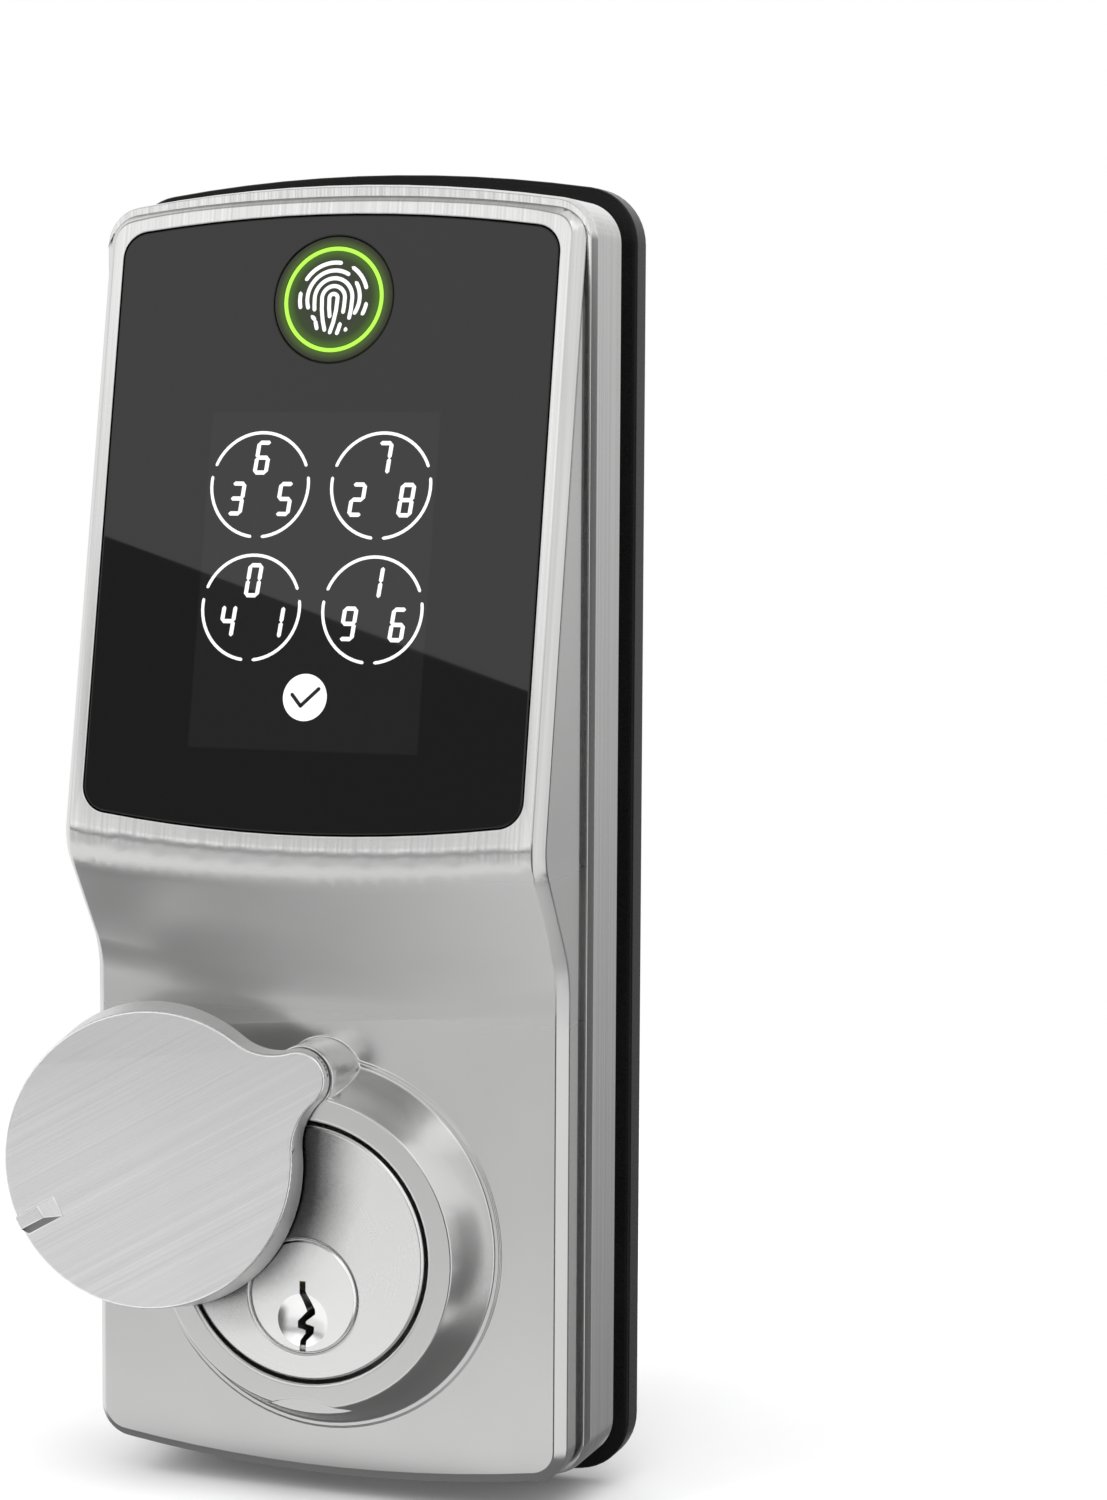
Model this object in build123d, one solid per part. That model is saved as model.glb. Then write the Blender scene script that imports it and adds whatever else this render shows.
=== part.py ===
from build123d import *
import math
import os

# Sizes are in millimetres. X runs to the right, Y into the door and Z up.
# Depths are measured from the door face towards the room, along -Y.
# The origin is the axis of the key plug on the door face.

# Outline of the front housing, seen from the room
FRONT_HALF_WIDTH = 29.2
FRONT_TOP = 124.7
FRONT_BOTTOM = -22.6
END_ARC_RADIUS = 177.0
FRONT_CORNER_RADIUS = 4.0
BAND_OFFSET = 0.78
GASKET_OFFSET = 1.8
MIN_CORNER_RADIUS = 1.0

# Layers from the door face outwards
GASKET_DEPTH = 3.55
PLATE_THICKNESS = 2.0
BAND_DEPTH = 9.71
LOWER_FACE_RISE = 5.67
SPIGOT_GAP = 1.05
BAND_BEVEL_DEPTH = 1.53
BAND_BEVEL_WIDTH = 0.30
GASKET_EDGE_RADIUS = 0.5

# Front face: tilted bezel, rounded step and lower face
BEZEL_RISE = 0.73
BULGE_Z = 48.5
BEZEL_SLOPE = 0.182
STEP_SLOPE = 0.66
BULGE_ROLL_RADIUS = 7.5
STEP_ROLL_RADIUS = 8.0
CHAMFER_WIDTH = 1.16
CHAMFER_DEPTH = 1.4
REVEAL_HEIGHT = 1.3
REVEAL_DEPTH = 0.8
REVEAL_COVER = 1.75

# Walls of the housings
CAVITY_INSET = 4.4
LOWER_WALL = 2.6
SPIGOT_INSET = 1.6
SPIGOT_CLEARANCE = 0.1
PLATE_INSET = 0.4
PLATE_CLEARANCE = 0.1
GASKET_OPENING_INSET = 4.6

# Touch glass and what sits behind it, on the bezel plane
GLASS_MARGIN = 2.63
GLASS_TOP_Z = 121.9
GLASS_BOTTOM_Z = 52.86
GLASS_CORNER_RADIUS = 3.0
GLASS_THICKNESS = 2.0
GLASS_CLEARANCE = 0.12
ADHESIVE_THICKNESS = 0.3
ADHESIVE_WIDTH = 1.5
FLOOR_THICKNESS = 2.0
DISPLAY_HALF_WIDTH = 13.9
DISPLAY_LOW_Z = 62.0
DISPLAY_HIGH_Z = 99.7
DISPLAY_CLEARANCE = 0.3
DISPLAY_FRAME_MARGIN = 3.0
DISPLAY_FRAME_THICKNESS = 1.2
DISPLAY_FRAME_LIP = 3.0

# Fingerprint sensor
SENSOR_Z = 112.4
SENSOR_RADIUS = 7.2
SENSOR_FLANGE_RADIUS = 7.8
SENSOR_STEM_RADIUS = 5.8
SENSOR_STEM_BACK = 6.2
SENSOR_CLEARANCE = 0.1
LIGHT_RING_INNER = 5.6
LIGHT_RING_OUTER = 6.05
LIGHT_RING_THICKNESS = 0.8
RETAINER_RADIUS = 9.2
RETAINER_MARGIN = 0.7
RETAINER_THICKNESS = 1.0

# Circuit board
BOARD_SIDE_GAP = 6.2
BOARD_LOW_Z = 50.0
BOARD_HIGH_Z = 103.5
BOARD_CORNER_RADIUS = 1.5
STANDOFF_HEIGHT = 2.45
BOARD_THICKNESS = 1.6
BOARD_SCREW_INSET_X = 3.0
BOARD_SCREW_INSET_Z = 3.0
STANDOFF_RADIUS = 2.5
BOARD_SCREW_RADIUS = 1.0
BOARD_SCREW_HEAD_RADIUS = 1.9
BOARD_SCREW_HEAD_HEIGHT = 1.2
BOARD_SCREW_LENGTH = 3.0
STANDOFF_FLOOR = 0.5
CHIP_HEIGHT = 1.2
CHIPS = (
    (0.0, 39.75, 10.0, 10.0),
    (11.5, 9.0, 7.0, 7.0),
    (-13.8, 34.75, 5.0, 6.0),
    (14.26, 32.75, 4.0, 8.0),
    (13.8, 18.75, 6.0, 4.0),
)
BUZZER_RADIUS = 5.5
BUZZER_HEIGHT = 3.4
BUZZER_HOLE_DEPTH = 1.0
BUZZER_GAP = 0.5
BUZZER_Z = 61.0
CONNECTOR_WIDTH = 13.0
CONNECTOR_HEIGHT = 5.0
CONNECTOR_DEPTH = 4.2
CONNECTOR_WALL = 0.8
CONNECTOR_INSET = 0.5
RIBBON_WIDTH = 12.0
RIBBON_THICKNESS = 0.25
RIBBON_LAP = 6.0
RIBBON_BEND = 4.0
RIBBON_GAP = 1.0
SENSOR_FLEX_LAP = 2.0

# Housing screws
HOUSING_SCREW_INSET = 8.4
HOUSING_SCREW_ROWS = (-15.0, 42.0, 116.4)
HOUSING_SCREW_RADIUS = 1.5
HOUSING_SCREW_HEAD_RADIUS = 2.8
HOUSING_SCREW_LENGTH = 5.0
HOUSING_BOSS_RADIUS = 3.1
THREAD_CLEARANCE = 0.02
HOLE_CLEARANCE = 0.1
HOUSING_HOLE_TIP = 1.0
BLIND_MARGIN = 0.3
SLOT_DEPTH = 0.7
SLOT_HALF_WIDTH = 0.35
SLOT_SHARE = 0.6
PLATE_BORE_CLEARANCE = 0.5

# Raised boss around the lock cylinder, and the lug of the cover above it
BOSS_Z = 5.05
BOSS_HEIGHT = 6.14
BOSS_FACE_RADIUS = 17.95
BOSS_BASE_RADIUS = 21.1
BOSS_RIM_WIDTH = 0.5
BOSS_RIM_HEIGHT = 0.3
PIVOT_Z = 25.05
LUG_FACE_RADIUS = 3.7
LUG_BASE_RADIUS = 5.0
SCALLOP_RADIUS = 10.3
SCALLOP_RISE = 1.05
SCALLOP_DEPTH = 2.4

# Lock cylinder
SHELL_RADIUS = 14.65
SHELL_GAP = 0.4
SHELL_GAP_DEPTH = 3.0
SHELL_CLEARANCE = 0.05
SHELL_REAR_RADIUS = 13.0
SHELL_LENGTH = 27.27
COLLAR_RADIUS = 17.0
COLLAR_THICKNESS = 2.5
COLLAR_FLAT_Z = 20.3
KEEPER_THICKNESS = 2.0
KEEPER_RADIUS = 18.0
KEEPER_CLEARANCE = 0.15
KEEPER_SCREW_INSET = 8.6
KEEPER_EAR_RADIUS = 3.2
KEEPER_SCREW_HEAD_RADIUS = 2.6
KEEPER_SCREW_HEAD_HEIGHT = 1.6
KEEPER_SCREW_LENGTH = 6.0
RIB_HALF_WIDTH = 6.0
RIB_THICKNESS = 1.0
EDGE_BREAK = 0.3

# Key plug and pins
PLUG_COLLAR_RADIUS = 6.55
PLUG_COLLAR_THICKNESS = 1.6
PLUG_RADIUS = 6.0
PLUG_CLEARANCE = 0.05
PLUG_END_PLAY = 0.1
PIN_COUNT = 5
FIRST_PIN = 5.9
PIN_PITCH = 3.97
PIN_RADIUS = 1.4
CHAMBER_RADIUS = 1.45
KEY_PIN_TOP = 5.8
KEY_PIN_BOTTOMS = (-0.6, 0.4, -1.1, 0.7, -0.2)
PIN_TIP = 0.9
CHAMBER_BOTTOM = -2.0
DRIVER_BOTTOM = 6.15
DRIVER_LENGTH = 5.8
SPRING_WALL = 0.4
CAP_SLOT_Z = 16.6
CAP_STRIP_HALF_WIDTH = 2.2
CAP_STRIP_THICKNESS = 1.0
CAP_STRIP_CLEARANCE = 0.05
CAP_STRIP_MARGIN = 2.0
KEYWAY_TOP = 1.8
KEYWAY_BOTTOM = -6.3
KEYWAY_LENGTH = 24.07
KEYWAY_HALF = 0.36
KEYWAY_LEFT = ((0.35, -1.75), (-0.8, -2.95), (-0.8, -3.75), (0.15, -3.95), (0.15, -4.35))
KEYWAY_RIGHT = ((1.35, -1.45), (1.35, -2.0), (0.15, -2.95), (0.15, -3.25), (1.2, -3.45))
KEYWAY_NECK = (0.35, 0.65)
KEYWAY_FOOT = (-4.2, -5.1)
KEY_ENTRY_Z = -2.7
KEY_ENTRY_RADIUS = 3.05
KEY_ENTRY_DEPTH = 0.6

# Plug cap and tailpiece behind the cylinder
PLUG_CAP_RADIUS = 7.2
PLUG_CAP_THICKNESS = 2.6
CAP_SCREW_X = 4.2
CAP_SCREW_RADIUS = 0.9
CAP_SCREW_HEAD_RADIUS = 1.7
CAP_SCREW_HEAD_HEIGHT = 1.0
CAP_SCREW_LENGTH = 5.0
TAIL_WIDTH = 6.4
TAIL_THICKNESS = 1.6
TAIL_END = 52.0
TAIL_FOOT_WIDTH = 8.4
TAIL_FOOT_THICKNESS = 3.4
TAIL_FOOT_HEIGHT = 1.2
TAIL_CLEARANCE = 0.05
TAIL_TIP = 2.5

# Door side: threaded posts and cable outlet
POST_INSET = 10.2
POST_RADIUS = 4.0
POST_FLANGE_RADIUS = 5.0
POST_FLANGE_THICKNESS = 1.4
POST_END = 14.0
POST_THREAD_RADIUS = 2.1
POST_THREAD_DEPTH = 16.0
GROMMET_Z = 23.7
GROMMET_RADIUS = 3.4
GROMMET_FLANGE_RADIUS = 4.4
GROMMET_FLANGE_THICKNESS = 1.2
GROMMET_BORE_RADIUS = 2.2

# Swinging cover
COVER_REST_ANGLE = 60.4
COVER_GAP = 0.4
COVER_BACK_RADIUS = 17.7
COVER_LOBE_RADIUS = 3.5
COVER_NECK_RADIUS = 7.0
COVER_DRAFT = 11.0
COVER_THICKNESS = 4.79
COVER_TILT = 9.0
COVER_EDGE = 0.25
TAB_INNER = 11.0
TAB_OUTER = 16.0
TAB_HALF_WIDTH = 1.35
TAB_HEIGHT = 2.0
TAB_SIDE_RUN = 1.0
TAB_STEEP_RUN = 0.2
TAB_END_RUN = 1.8
TAB_SINK = 0.5
PIVOT_RADIUS = 2.0
PIVOT_CLEARANCE = 0.05
WASHER_THICKNESS = 0.4
WASHER_RADIUS = 3.1
COVER_SCREW_RADIUS = 1.25
COVER_SCREW_HEAD_RADIUS = 3.0
COVER_SCREW_HEAD_HEIGHT = 1.5
COVER_SCREW_LENGTH = 6.0
COVER_SCREW_TIP = 0.5

# Values that follow from the sizes above
PLATE_FRONT = GASKET_DEPTH + PLATE_THICKNESS
SPIGOT_BACK = PLATE_FRONT + SPIGOT_GAP
GLASS_HALF_WIDTH = FRONT_HALF_WIDTH - GLASS_MARGIN
BOARD_HALF_WIDTH = FRONT_HALF_WIDTH - BOARD_SIDE_GAP
BOARD_SCREW_X = BOARD_HALF_WIDTH - BOARD_SCREW_INSET_X
BUZZER_X = -RIBBON_WIDTH / 2 - BUZZER_GAP - BUZZER_RADIUS
HOUSING_SCREW_X = FRONT_HALF_WIDTH - HOUSING_SCREW_INSET
KEEPER_SCREW_X = FRONT_HALF_WIDTH - KEEPER_SCREW_INSET
POST_X = FRONT_HALF_WIDTH - POST_INSET
BOARD_BACK = PLATE_FRONT + STANDOFF_HEIGHT
LEDGE_DEPTH = GASKET_DEPTH + BAND_DEPTH
LOWER_FACE_DEPTH = LEDGE_DEPTH + LOWER_FACE_RISE
BOSS_FACE_DEPTH = LOWER_FACE_DEPTH + BOSS_HEIGHT
BULGE_DEPTH = LEDGE_DEPTH + BEZEL_RISE + BEZEL_SLOPE * (FRONT_TOP - BULGE_Z)
SHELL_BACK = BOSS_FACE_DEPTH - SHELL_LENGTH
KEYWAY_BACK = BOSS_FACE_DEPTH - KEYWAY_LENGTH
RETAINER_FLAT_Z = FRONT_TOP - CAVITY_INSET - RETAINER_MARGIN
BEZEL_TILT = math.atan(BEZEL_SLOPE)
BEZEL_COS = math.cos(BEZEL_TILT)
FRONT = Vector(0, -1, 0)
BEZEL_PLANE = Plane(
    origin=(0, -BULGE_DEPTH, BULGE_Z),
    x_dir=(1, 0, 0),
    z_dir=(0, -BEZEL_COS, math.sin(BEZEL_TILT)),
)
INNER_FACE = LOWER_FACE_DEPTH - LOWER_WALL
POCKET_DEPTH = GLASS_THICKNESS + ADHESIVE_THICKNESS
FLOOR_BACK = POCKET_DEPTH + FLOOR_THICKNESS
BOARD_FRONT = BOARD_BACK + BOARD_THICKNESS
COVER_BACK = BOSS_FACE_DEPTH + COVER_GAP
COVER_CENTRE_DEPTH = COVER_BACK + COVER_THICKNESS
COVER_ARM = PIVOT_Z - BOSS_Z
FAR = 400.0
BLOCK = 60.0
CENTRED = (Align.CENTER, Align.CENTER, Align.CENTER)
UP_FROM = (Align.CENTER, Align.CENTER, Align.MIN)
DOWN_FROM = (Align.CENTER, Align.CENTER, Align.MAX)
PIN_DEPTHS = [BOSS_FACE_DEPTH - FIRST_PIN - PIN_PITCH * i for i in range(PIN_COUNT)]
BOARD_SCREW_PLACES = [
    (side * BOARD_SCREW_X, z)
    for side in (-1, 1)
    for z in (BOARD_LOW_Z + BOARD_SCREW_INSET_Z, BOARD_HIGH_Z - BOARD_SCREW_INSET_Z)
]
HOUSING_SCREW_PLACES = [
    (side * HOUSING_SCREW_X, z) for side in (-1, 1) for z in HOUSING_SCREW_ROWS
]


def at_depth(depth, x=0.0, z=0.0):
    """Plane facing the room at a depth from the door, centred on x and z."""
    return Plane(origin=(x, -depth, z), x_dir=(1, 0, 0), z_dir=(0, -1, 0))


def side_plane(x):
    """Upright plane across X, drawn with depth to the right and height up."""
    return Plane(origin=(x, 0, 0), x_dir=(0, -1, 0), z_dir=(-1, 0, 0))


def slab(sketch, back, front):
    """Front-view sketch drawn out between two depths."""
    return extrude(at_depth(back) * sketch, amount=front - back, dir=FRONT)


def rod(radius, back, front, x=0.0, z=0.0):
    """Round bar along Y between two depths."""
    bar = Cylinder(radius, front - back, align=UP_FROM)
    return at_depth(back, x, z) * bar


def cone(back_radius, front_radius, back, front, x=0.0, z=0.0):
    """Tapered round bar along Y between two depths."""
    bar = Cone(back_radius, front_radius, front - back, align=UP_FROM)
    return at_depth(back, x, z) * bar


def upright(radius, low, high, depth, x=0.0):
    """Round bar along Z."""
    return Pos(x, -depth, low) * Cylinder(radius, high - low, align=UP_FROM)


def block(x0, x1, back, front, z0, z1):
    """Box between two limits on each axis, with depths for Y."""
    size = Box(x1 - x0, front - back, z1 - z0)
    return Pos((x0 + x1) / 2, -(back + front) / 2, (z0 + z1) / 2) * size


def lens(half_width, top, bottom, arc_radius, corner_radius):
    """Upright outline with bowed ends and rounded corners."""
    drop = arc_radius - math.sqrt(arc_radius**2 - half_width**2)
    right = Line((half_width, bottom + drop), (half_width, top - drop))
    upper = ThreePointArc(right @ 1, (0, top), (-half_width, top - drop))
    left = Line(upper @ 1, (-half_width, bottom + drop))
    lower = ThreePointArc(left @ 1, (0, bottom), right @ 0)
    face = make_face([right, upper, left, lower])
    return fillet(face.vertices(), corner_radius)


def outline(offset):
    """Outline of the front housing, moved outwards by an offset."""
    return lens(
        FRONT_HALF_WIDTH + offset,
        FRONT_TOP + offset,
        FRONT_BOTTOM - offset,
        END_ARC_RADIUS + offset,
        max(FRONT_CORNER_RADIUS + offset, MIN_CORNER_RADIUS),
    )


def on_bezel(z):
    """Distance up the bezel plane of a point at height z."""
    return (z - BULGE_Z) / BEZEL_COS


def bezel_slab(sketch, top, bottom):
    """Sketch on the bezel plane, drawn out between two distances below it."""
    return extrude(BEZEL_PLANE * Pos(0, 0, -bottom) * sketch, amount=bottom - top)


def glass_outline(offset):
    """Outline of the glass on the bezel plane, moved outwards by an offset."""
    return lens(
        GLASS_HALF_WIDTH + offset,
        on_bezel(GLASS_TOP_Z) + offset,
        on_bezel(GLASS_BOTTOM_Z) - offset,
        END_ARC_RADIUS + offset,
        max(GLASS_CORNER_RADIUS + offset, MIN_CORNER_RADIUS),
    )


def display_outline(offset):
    """Rectangle of the display on the bezel plane, moved outwards."""
    low = on_bezel(DISPLAY_LOW_Z) - offset
    high = on_bezel(DISPLAY_HIGH_Z) + offset
    return Pos(0, (low + high) / 2) * Rectangle(
        2 * (DISPLAY_HALF_WIDTH + offset), high - low
    )


def sensor_disc(radius):
    """Disc on the bezel plane at the fingerprint sensor."""
    return Pos(0, on_bezel(SENSOR_Z)) * Circle(radius)


def nearest_edge(solid, point):
    """Edge of a solid that passes closest to a point."""
    return min(solid.edges(), key=lambda edge: edge.distance_to(Vertex(*point)))


def bezel_half_space(below=0.0):
    """Everything behind the bezel plane, or behind a plane set below it."""
    body = Box(FAR, FAR, FAR, align=DOWN_FROM)
    return BEZEL_PLANE * Pos(0, 0, -below) * body


def front_form():
    """Bezel, rounded step and lower face as one block, wider than the lock."""
    reach = BLOCK / 2
    middle = BULGE_DEPTH - reach / 2
    back_radius = END_ARC_RADIUS + reach / STEP_SLOPE
    step = cone(
        back_radius, END_ARC_RADIUS, BULGE_DEPTH - reach, BULGE_DEPTH,
        z=BULGE_Z + END_ARC_RADIUS,
    )
    tip = END_ARC_RADIUS - reach / STEP_SLOPE
    step += cone(
        END_ARC_RADIUS, tip, BULGE_DEPTH, BULGE_DEPTH + reach,
        z=BULGE_Z + END_ARC_RADIUS,
    )
    limits = block(
        -BLOCK, BLOCK, SPIGOT_BACK, BLOCK, FRONT_BOTTOM - BLOCK, FRONT_TOP + BLOCK / 4
    )
    upper = limits & bezel_half_space() & step
    lower = block(
        -BLOCK, BLOCK, SPIGOT_BACK, LOWER_FACE_DEPTH, FRONT_BOTTOM - BLOCK, BULGE_Z
    )
    form = upper + lower
    crest = nearest_edge(form, (0, -BULGE_DEPTH, BULGE_Z))
    form = fillet(crest, BULGE_ROLL_RADIUS)
    foot_z = BULGE_Z - (BULGE_DEPTH - LOWER_FACE_DEPTH) / STEP_SLOPE
    foot = nearest_edge(form, (0, -LOWER_FACE_DEPTH, foot_z))
    return fillet(foot, STEP_ROLL_RADIUS)


def is_front_edge(edge):
    """True for the edges between the front face and the outer wall."""
    middle = edge.position_at(0.5)
    along = edge.tangent_at(0.5)
    if -middle.Y < LEDGE_DEPTH + 0.2 or abs(along.Y) > 0.98:
        return False
    near_side = abs(middle.X) > FRONT_HALF_WIDTH - FRONT_CORNER_RADIUS
    near_end = middle.Z > FRONT_TOP - FRONT_CORNER_RADIUS
    return near_side or near_end or middle.Z < FRONT_BOTTOM + FRONT_CORNER_RADIUS


def front_skin():
    """Outer form of the front housing, with its edge chamfer and reveal."""
    skin = front_form() & slab(outline(0), SPIGOT_BACK, BLOCK)
    edges = skin.edges().filter_by(is_front_edge)
    skin = chamfer(edges, CHAMFER_WIDTH, CHAMFER_DEPTH)
    skin &= slab(outline(0), LEDGE_DEPTH, BLOCK)
    reveal = slab(
        outline(BAND_OFFSET) - outline(-REVEAL_DEPTH),
        LEDGE_DEPTH, LEDGE_DEPTH + REVEAL_HEIGHT,
    )
    return skin - (reveal & bezel_half_space(REVEAL_COVER))


def front_cavity():
    """Hollow of the front housing, open to the back."""
    bezel_back = FLOOR_BACK / BEZEL_COS
    step_back = LOWER_WALL / math.cos(math.atan(STEP_SLOPE))
    side_rise = FRONT_HALF_WIDTH**2 / (2 * END_ARC_RADIUS)

    def bezel_depth(z):
        return BULGE_DEPTH + BEZEL_SLOPE * (BULGE_Z - z) - bezel_back

    def step_z(depth):
        drop = (BULGE_DEPTH - depth - step_back) / STEP_SLOPE
        return BULGE_Z + side_rise - drop

    crest_z = (
        bezel_depth(0) + STEP_SLOPE * step_z(0)
    ) / (BEZEL_SLOPE + STEP_SLOPE)
    low, high = FRONT_BOTTOM, FRONT_TOP
    profile = make_face(Polyline(
        (GASKET_DEPTH, low), (INNER_FACE, low), (INNER_FACE, step_z(INNER_FACE)),
        (bezel_depth(crest_z), crest_z), (bezel_depth(high), high),
        (GASKET_DEPTH, high), close=True,
    ))
    side = extrude(
        side_plane(-BLOCK) * profile, amount=2 * BLOCK, dir=(1, 0, 0)
    )
    return side & slab(outline(-CAVITY_INSET), GASKET_DEPTH, BLOCK)


def lug_solid():
    """Lug of the cover: upright above, flared at its sides and foot."""
    foot_z = PIVOT_Z + LUG_FACE_RADIUS - LUG_BASE_RADIUS
    foot = at_depth(INNER_FACE, z=foot_z) * Circle(LUG_BASE_RADIUS)
    base = at_depth(LOWER_FACE_DEPTH, z=foot_z) * Circle(LUG_BASE_RADIUS)
    face = at_depth(BOSS_FACE_DEPTH, z=PIVOT_Z) * Circle(LUG_FACE_RADIUS)
    return loft([base, face]) + loft([foot, base])


def boss_solid():
    """Raised boss around the cylinder, with its foot rim and finger notch."""
    boss = cone(
        BOSS_BASE_RADIUS, BOSS_FACE_RADIUS, LOWER_FACE_DEPTH, BOSS_FACE_DEPTH, z=BOSS_Z
    )
    rim = rod(
        BOSS_BASE_RADIUS + BOSS_RIM_WIDTH, INNER_FACE,
        LOWER_FACE_DEPTH + BOSS_RIM_HEIGHT, z=BOSS_Z,
    )
    notch_z = BOSS_Z - BOSS_FACE_RADIUS + SCALLOP_RISE - SCALLOP_RADIUS
    notch = rod(
        SCALLOP_RADIUS, BOSS_FACE_DEPTH - SCALLOP_DEPTH, BLOCK, z=notch_z
    )
    return boss - notch + rim + lug_solid()


def boss_bores():
    """Openings through the boss for the cylinder and the cover's pivot."""
    seat = rod(SHELL_RADIUS + SHELL_CLEARANCE, GASKET_DEPTH, BLOCK, z=BOSS_Z)
    gap_radius = SHELL_RADIUS + SHELL_GAP
    gap = rod(gap_radius, BOSS_FACE_DEPTH - SHELL_GAP_DEPTH, BLOCK, z=BOSS_Z)
    lead = cone(
        gap_radius, gap_radius + EDGE_BREAK, BOSS_FACE_DEPTH - EDGE_BREAK,
        BOSS_FACE_DEPTH, z=BOSS_Z,
    )
    pivot = rod(PIVOT_RADIUS + PIVOT_CLEARANCE, GASKET_DEPTH, BLOCK, z=PIVOT_Z)
    return seat + gap + lead + pivot


def front_housing():
    """Cast front housing with its spigot, screw bosses and openings."""
    spigot = front_form() & slab(outline(-SPIGOT_INSET), SPIGOT_BACK, LEDGE_DEPTH)
    cavity = front_cavity()
    shell = front_skin() + spigot - cavity + boss_solid()
    for x, z in HOUSING_SCREW_PLACES:
        shell += cavity & rod(HOUSING_BOSS_RADIUS, PLATE_FRONT, BLOCK, x, z)
        tip = GASKET_DEPTH + HOUSING_SCREW_LENGTH + HOUSING_HOLE_TIP
        shell -= rod(HOUSING_SCREW_RADIUS + THREAD_CLEARANCE, PLATE_FRONT, tip, x, z)
    keeper_face = INNER_FACE - COLLAR_THICKNESS
    for side in (-1, 1):
        x = side * KEEPER_SCREW_X
        shell += rod(KEEPER_EAR_RADIUS, keeper_face, INNER_FACE, x, BOSS_Z)
        tip = keeper_face - KEEPER_THICKNESS + KEEPER_SCREW_LENGTH
        hole = COVER_SCREW_RADIUS + THREAD_CLEARANCE
        shell -= rod(hole, keeper_face, tip + BLIND_MARGIN, x, BOSS_Z)
    flat = COLLAR_FLAT_Z + 2 * SHELL_CLEARANCE
    shell += block(
        -RIB_HALF_WIDTH, RIB_HALF_WIDTH, keeper_face, INNER_FACE, flat, flat + RIB_THICKNESS
    )
    shell -= boss_bores()
    shell -= bezel_slab(glass_outline(GLASS_CLEARANCE), -GLASS_THICKNESS, POCKET_DEPTH)
    shell -= bezel_slab(display_outline(DISPLAY_CLEARANCE), 0, FLOOR_BACK + 1)
    shell -= bezel_slab(
        sensor_disc(SENSOR_FLANGE_RADIUS + SENSOR_CLEARANCE), 0, FLOOR_BACK + 1
    )
    return shell


def rear_housing():
    """Band around the lock: its rim carries the front housing."""
    band = slab(outline(BAND_OFFSET), GASKET_DEPTH, LEDGE_DEPTH)
    rim = band.faces().sort_by(Axis.Y)[0]
    band = chamfer(
        rim.edges(), BAND_BEVEL_WIDTH, BAND_BEVEL_DEPTH, reference=rim
    )
    opening = outline(SPIGOT_CLEARANCE - SPIGOT_INSET)
    seat = outline(PLATE_CLEARANCE - PLATE_INSET)
    band -= slab(opening, GASKET_DEPTH - 1, LEDGE_DEPTH + 1)
    return band - slab(seat, GASKET_DEPTH - 1, PLATE_FRONT)


def door_gasket():
    """Rubber gasket between the lock and the door."""
    ring = slab(outline(BAND_OFFSET + GASKET_OFFSET), 0, GASKET_DEPTH)
    front = ring.faces().sort_by(Axis.Y)[0]
    ring = fillet(front.edges(), GASKET_EDGE_RADIUS)
    return ring - slab(outline(-GASKET_OPENING_INSET), -1, GASKET_DEPTH + 1)


def countersink(x, z, clearance):
    """Space of a countersunk screw head in the back plate."""
    head = HOUSING_SCREW_HEAD_RADIUS + clearance
    shank = HOUSING_SCREW_RADIUS + clearance
    depth = GASKET_DEPTH + head - shank
    return cone(head, shank, GASKET_DEPTH, depth, x, z)


def back_plate():
    """Steel plate that closes the back and carries the posts."""
    plate = slab(outline(-PLATE_INSET), GASKET_DEPTH, PLATE_FRONT)
    back, front = GASKET_DEPTH - 1, PLATE_FRONT + 1
    plate -= rod(SHELL_REAR_RADIUS + PLATE_BORE_CLEARANCE, back, front, z=BOSS_Z)
    plate -= rod(GROMMET_RADIUS, back, front, z=GROMMET_Z)
    for side in (-1, 1):
        plate -= rod(POST_RADIUS + THREAD_CLEARANCE, back, front, side * POST_X)
    for x, z in HOUSING_SCREW_PLACES:
        plate -= rod(HOUSING_SCREW_RADIUS + HOLE_CLEARANCE, back, front, x, z)
        plate -= countersink(x, z, THREAD_CLEARANCE)
    return plate


def housing_screws():
    """Countersunk screws that pull the front housing onto the plate."""
    screws = []
    for x, z in HOUSING_SCREW_PLACES:
        shank = rod(
            HOUSING_SCREW_RADIUS, GASKET_DEPTH, GASKET_DEPTH + HOUSING_SCREW_LENGTH, x, z
        )
        screw = shank + countersink(x, z, 0)
        half = SLOT_HALF_WIDTH
        reach = HOUSING_SCREW_HEAD_RADIUS * SLOT_SHARE
        front = GASKET_DEPTH + SLOT_DEPTH
        slot = block(x - reach, x + reach, GASKET_DEPTH, front, z - half, z + half)
        cross = block(x - half, x + half, GASKET_DEPTH, front, z - reach, z + reach)
        screws.append(screw - slot - cross)
    return Compound(screws)


def mounting_posts():
    """Threaded posts that take the through bolts of the inside unit."""
    posts = []
    for side in (-1, 1):
        x = side * POST_X
        post = rod(POST_RADIUS, -POST_END, PLATE_FRONT, x)
        post += rod(
            POST_FLANGE_RADIUS, PLATE_FRONT, PLATE_FRONT + POST_FLANGE_THICKNESS, x
        )
        relief = SHELL_REAR_RADIUS + PLATE_BORE_CLEARANCE
        post -= rod(relief, SHELL_BACK - 1, PLATE_FRONT + BLOCK, z=BOSS_Z)
        post -= rod(POST_THREAD_RADIUS, -POST_END - 1, POST_THREAD_DEPTH - POST_END, x)
        posts.append(post)
    return Compound(posts)


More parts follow.
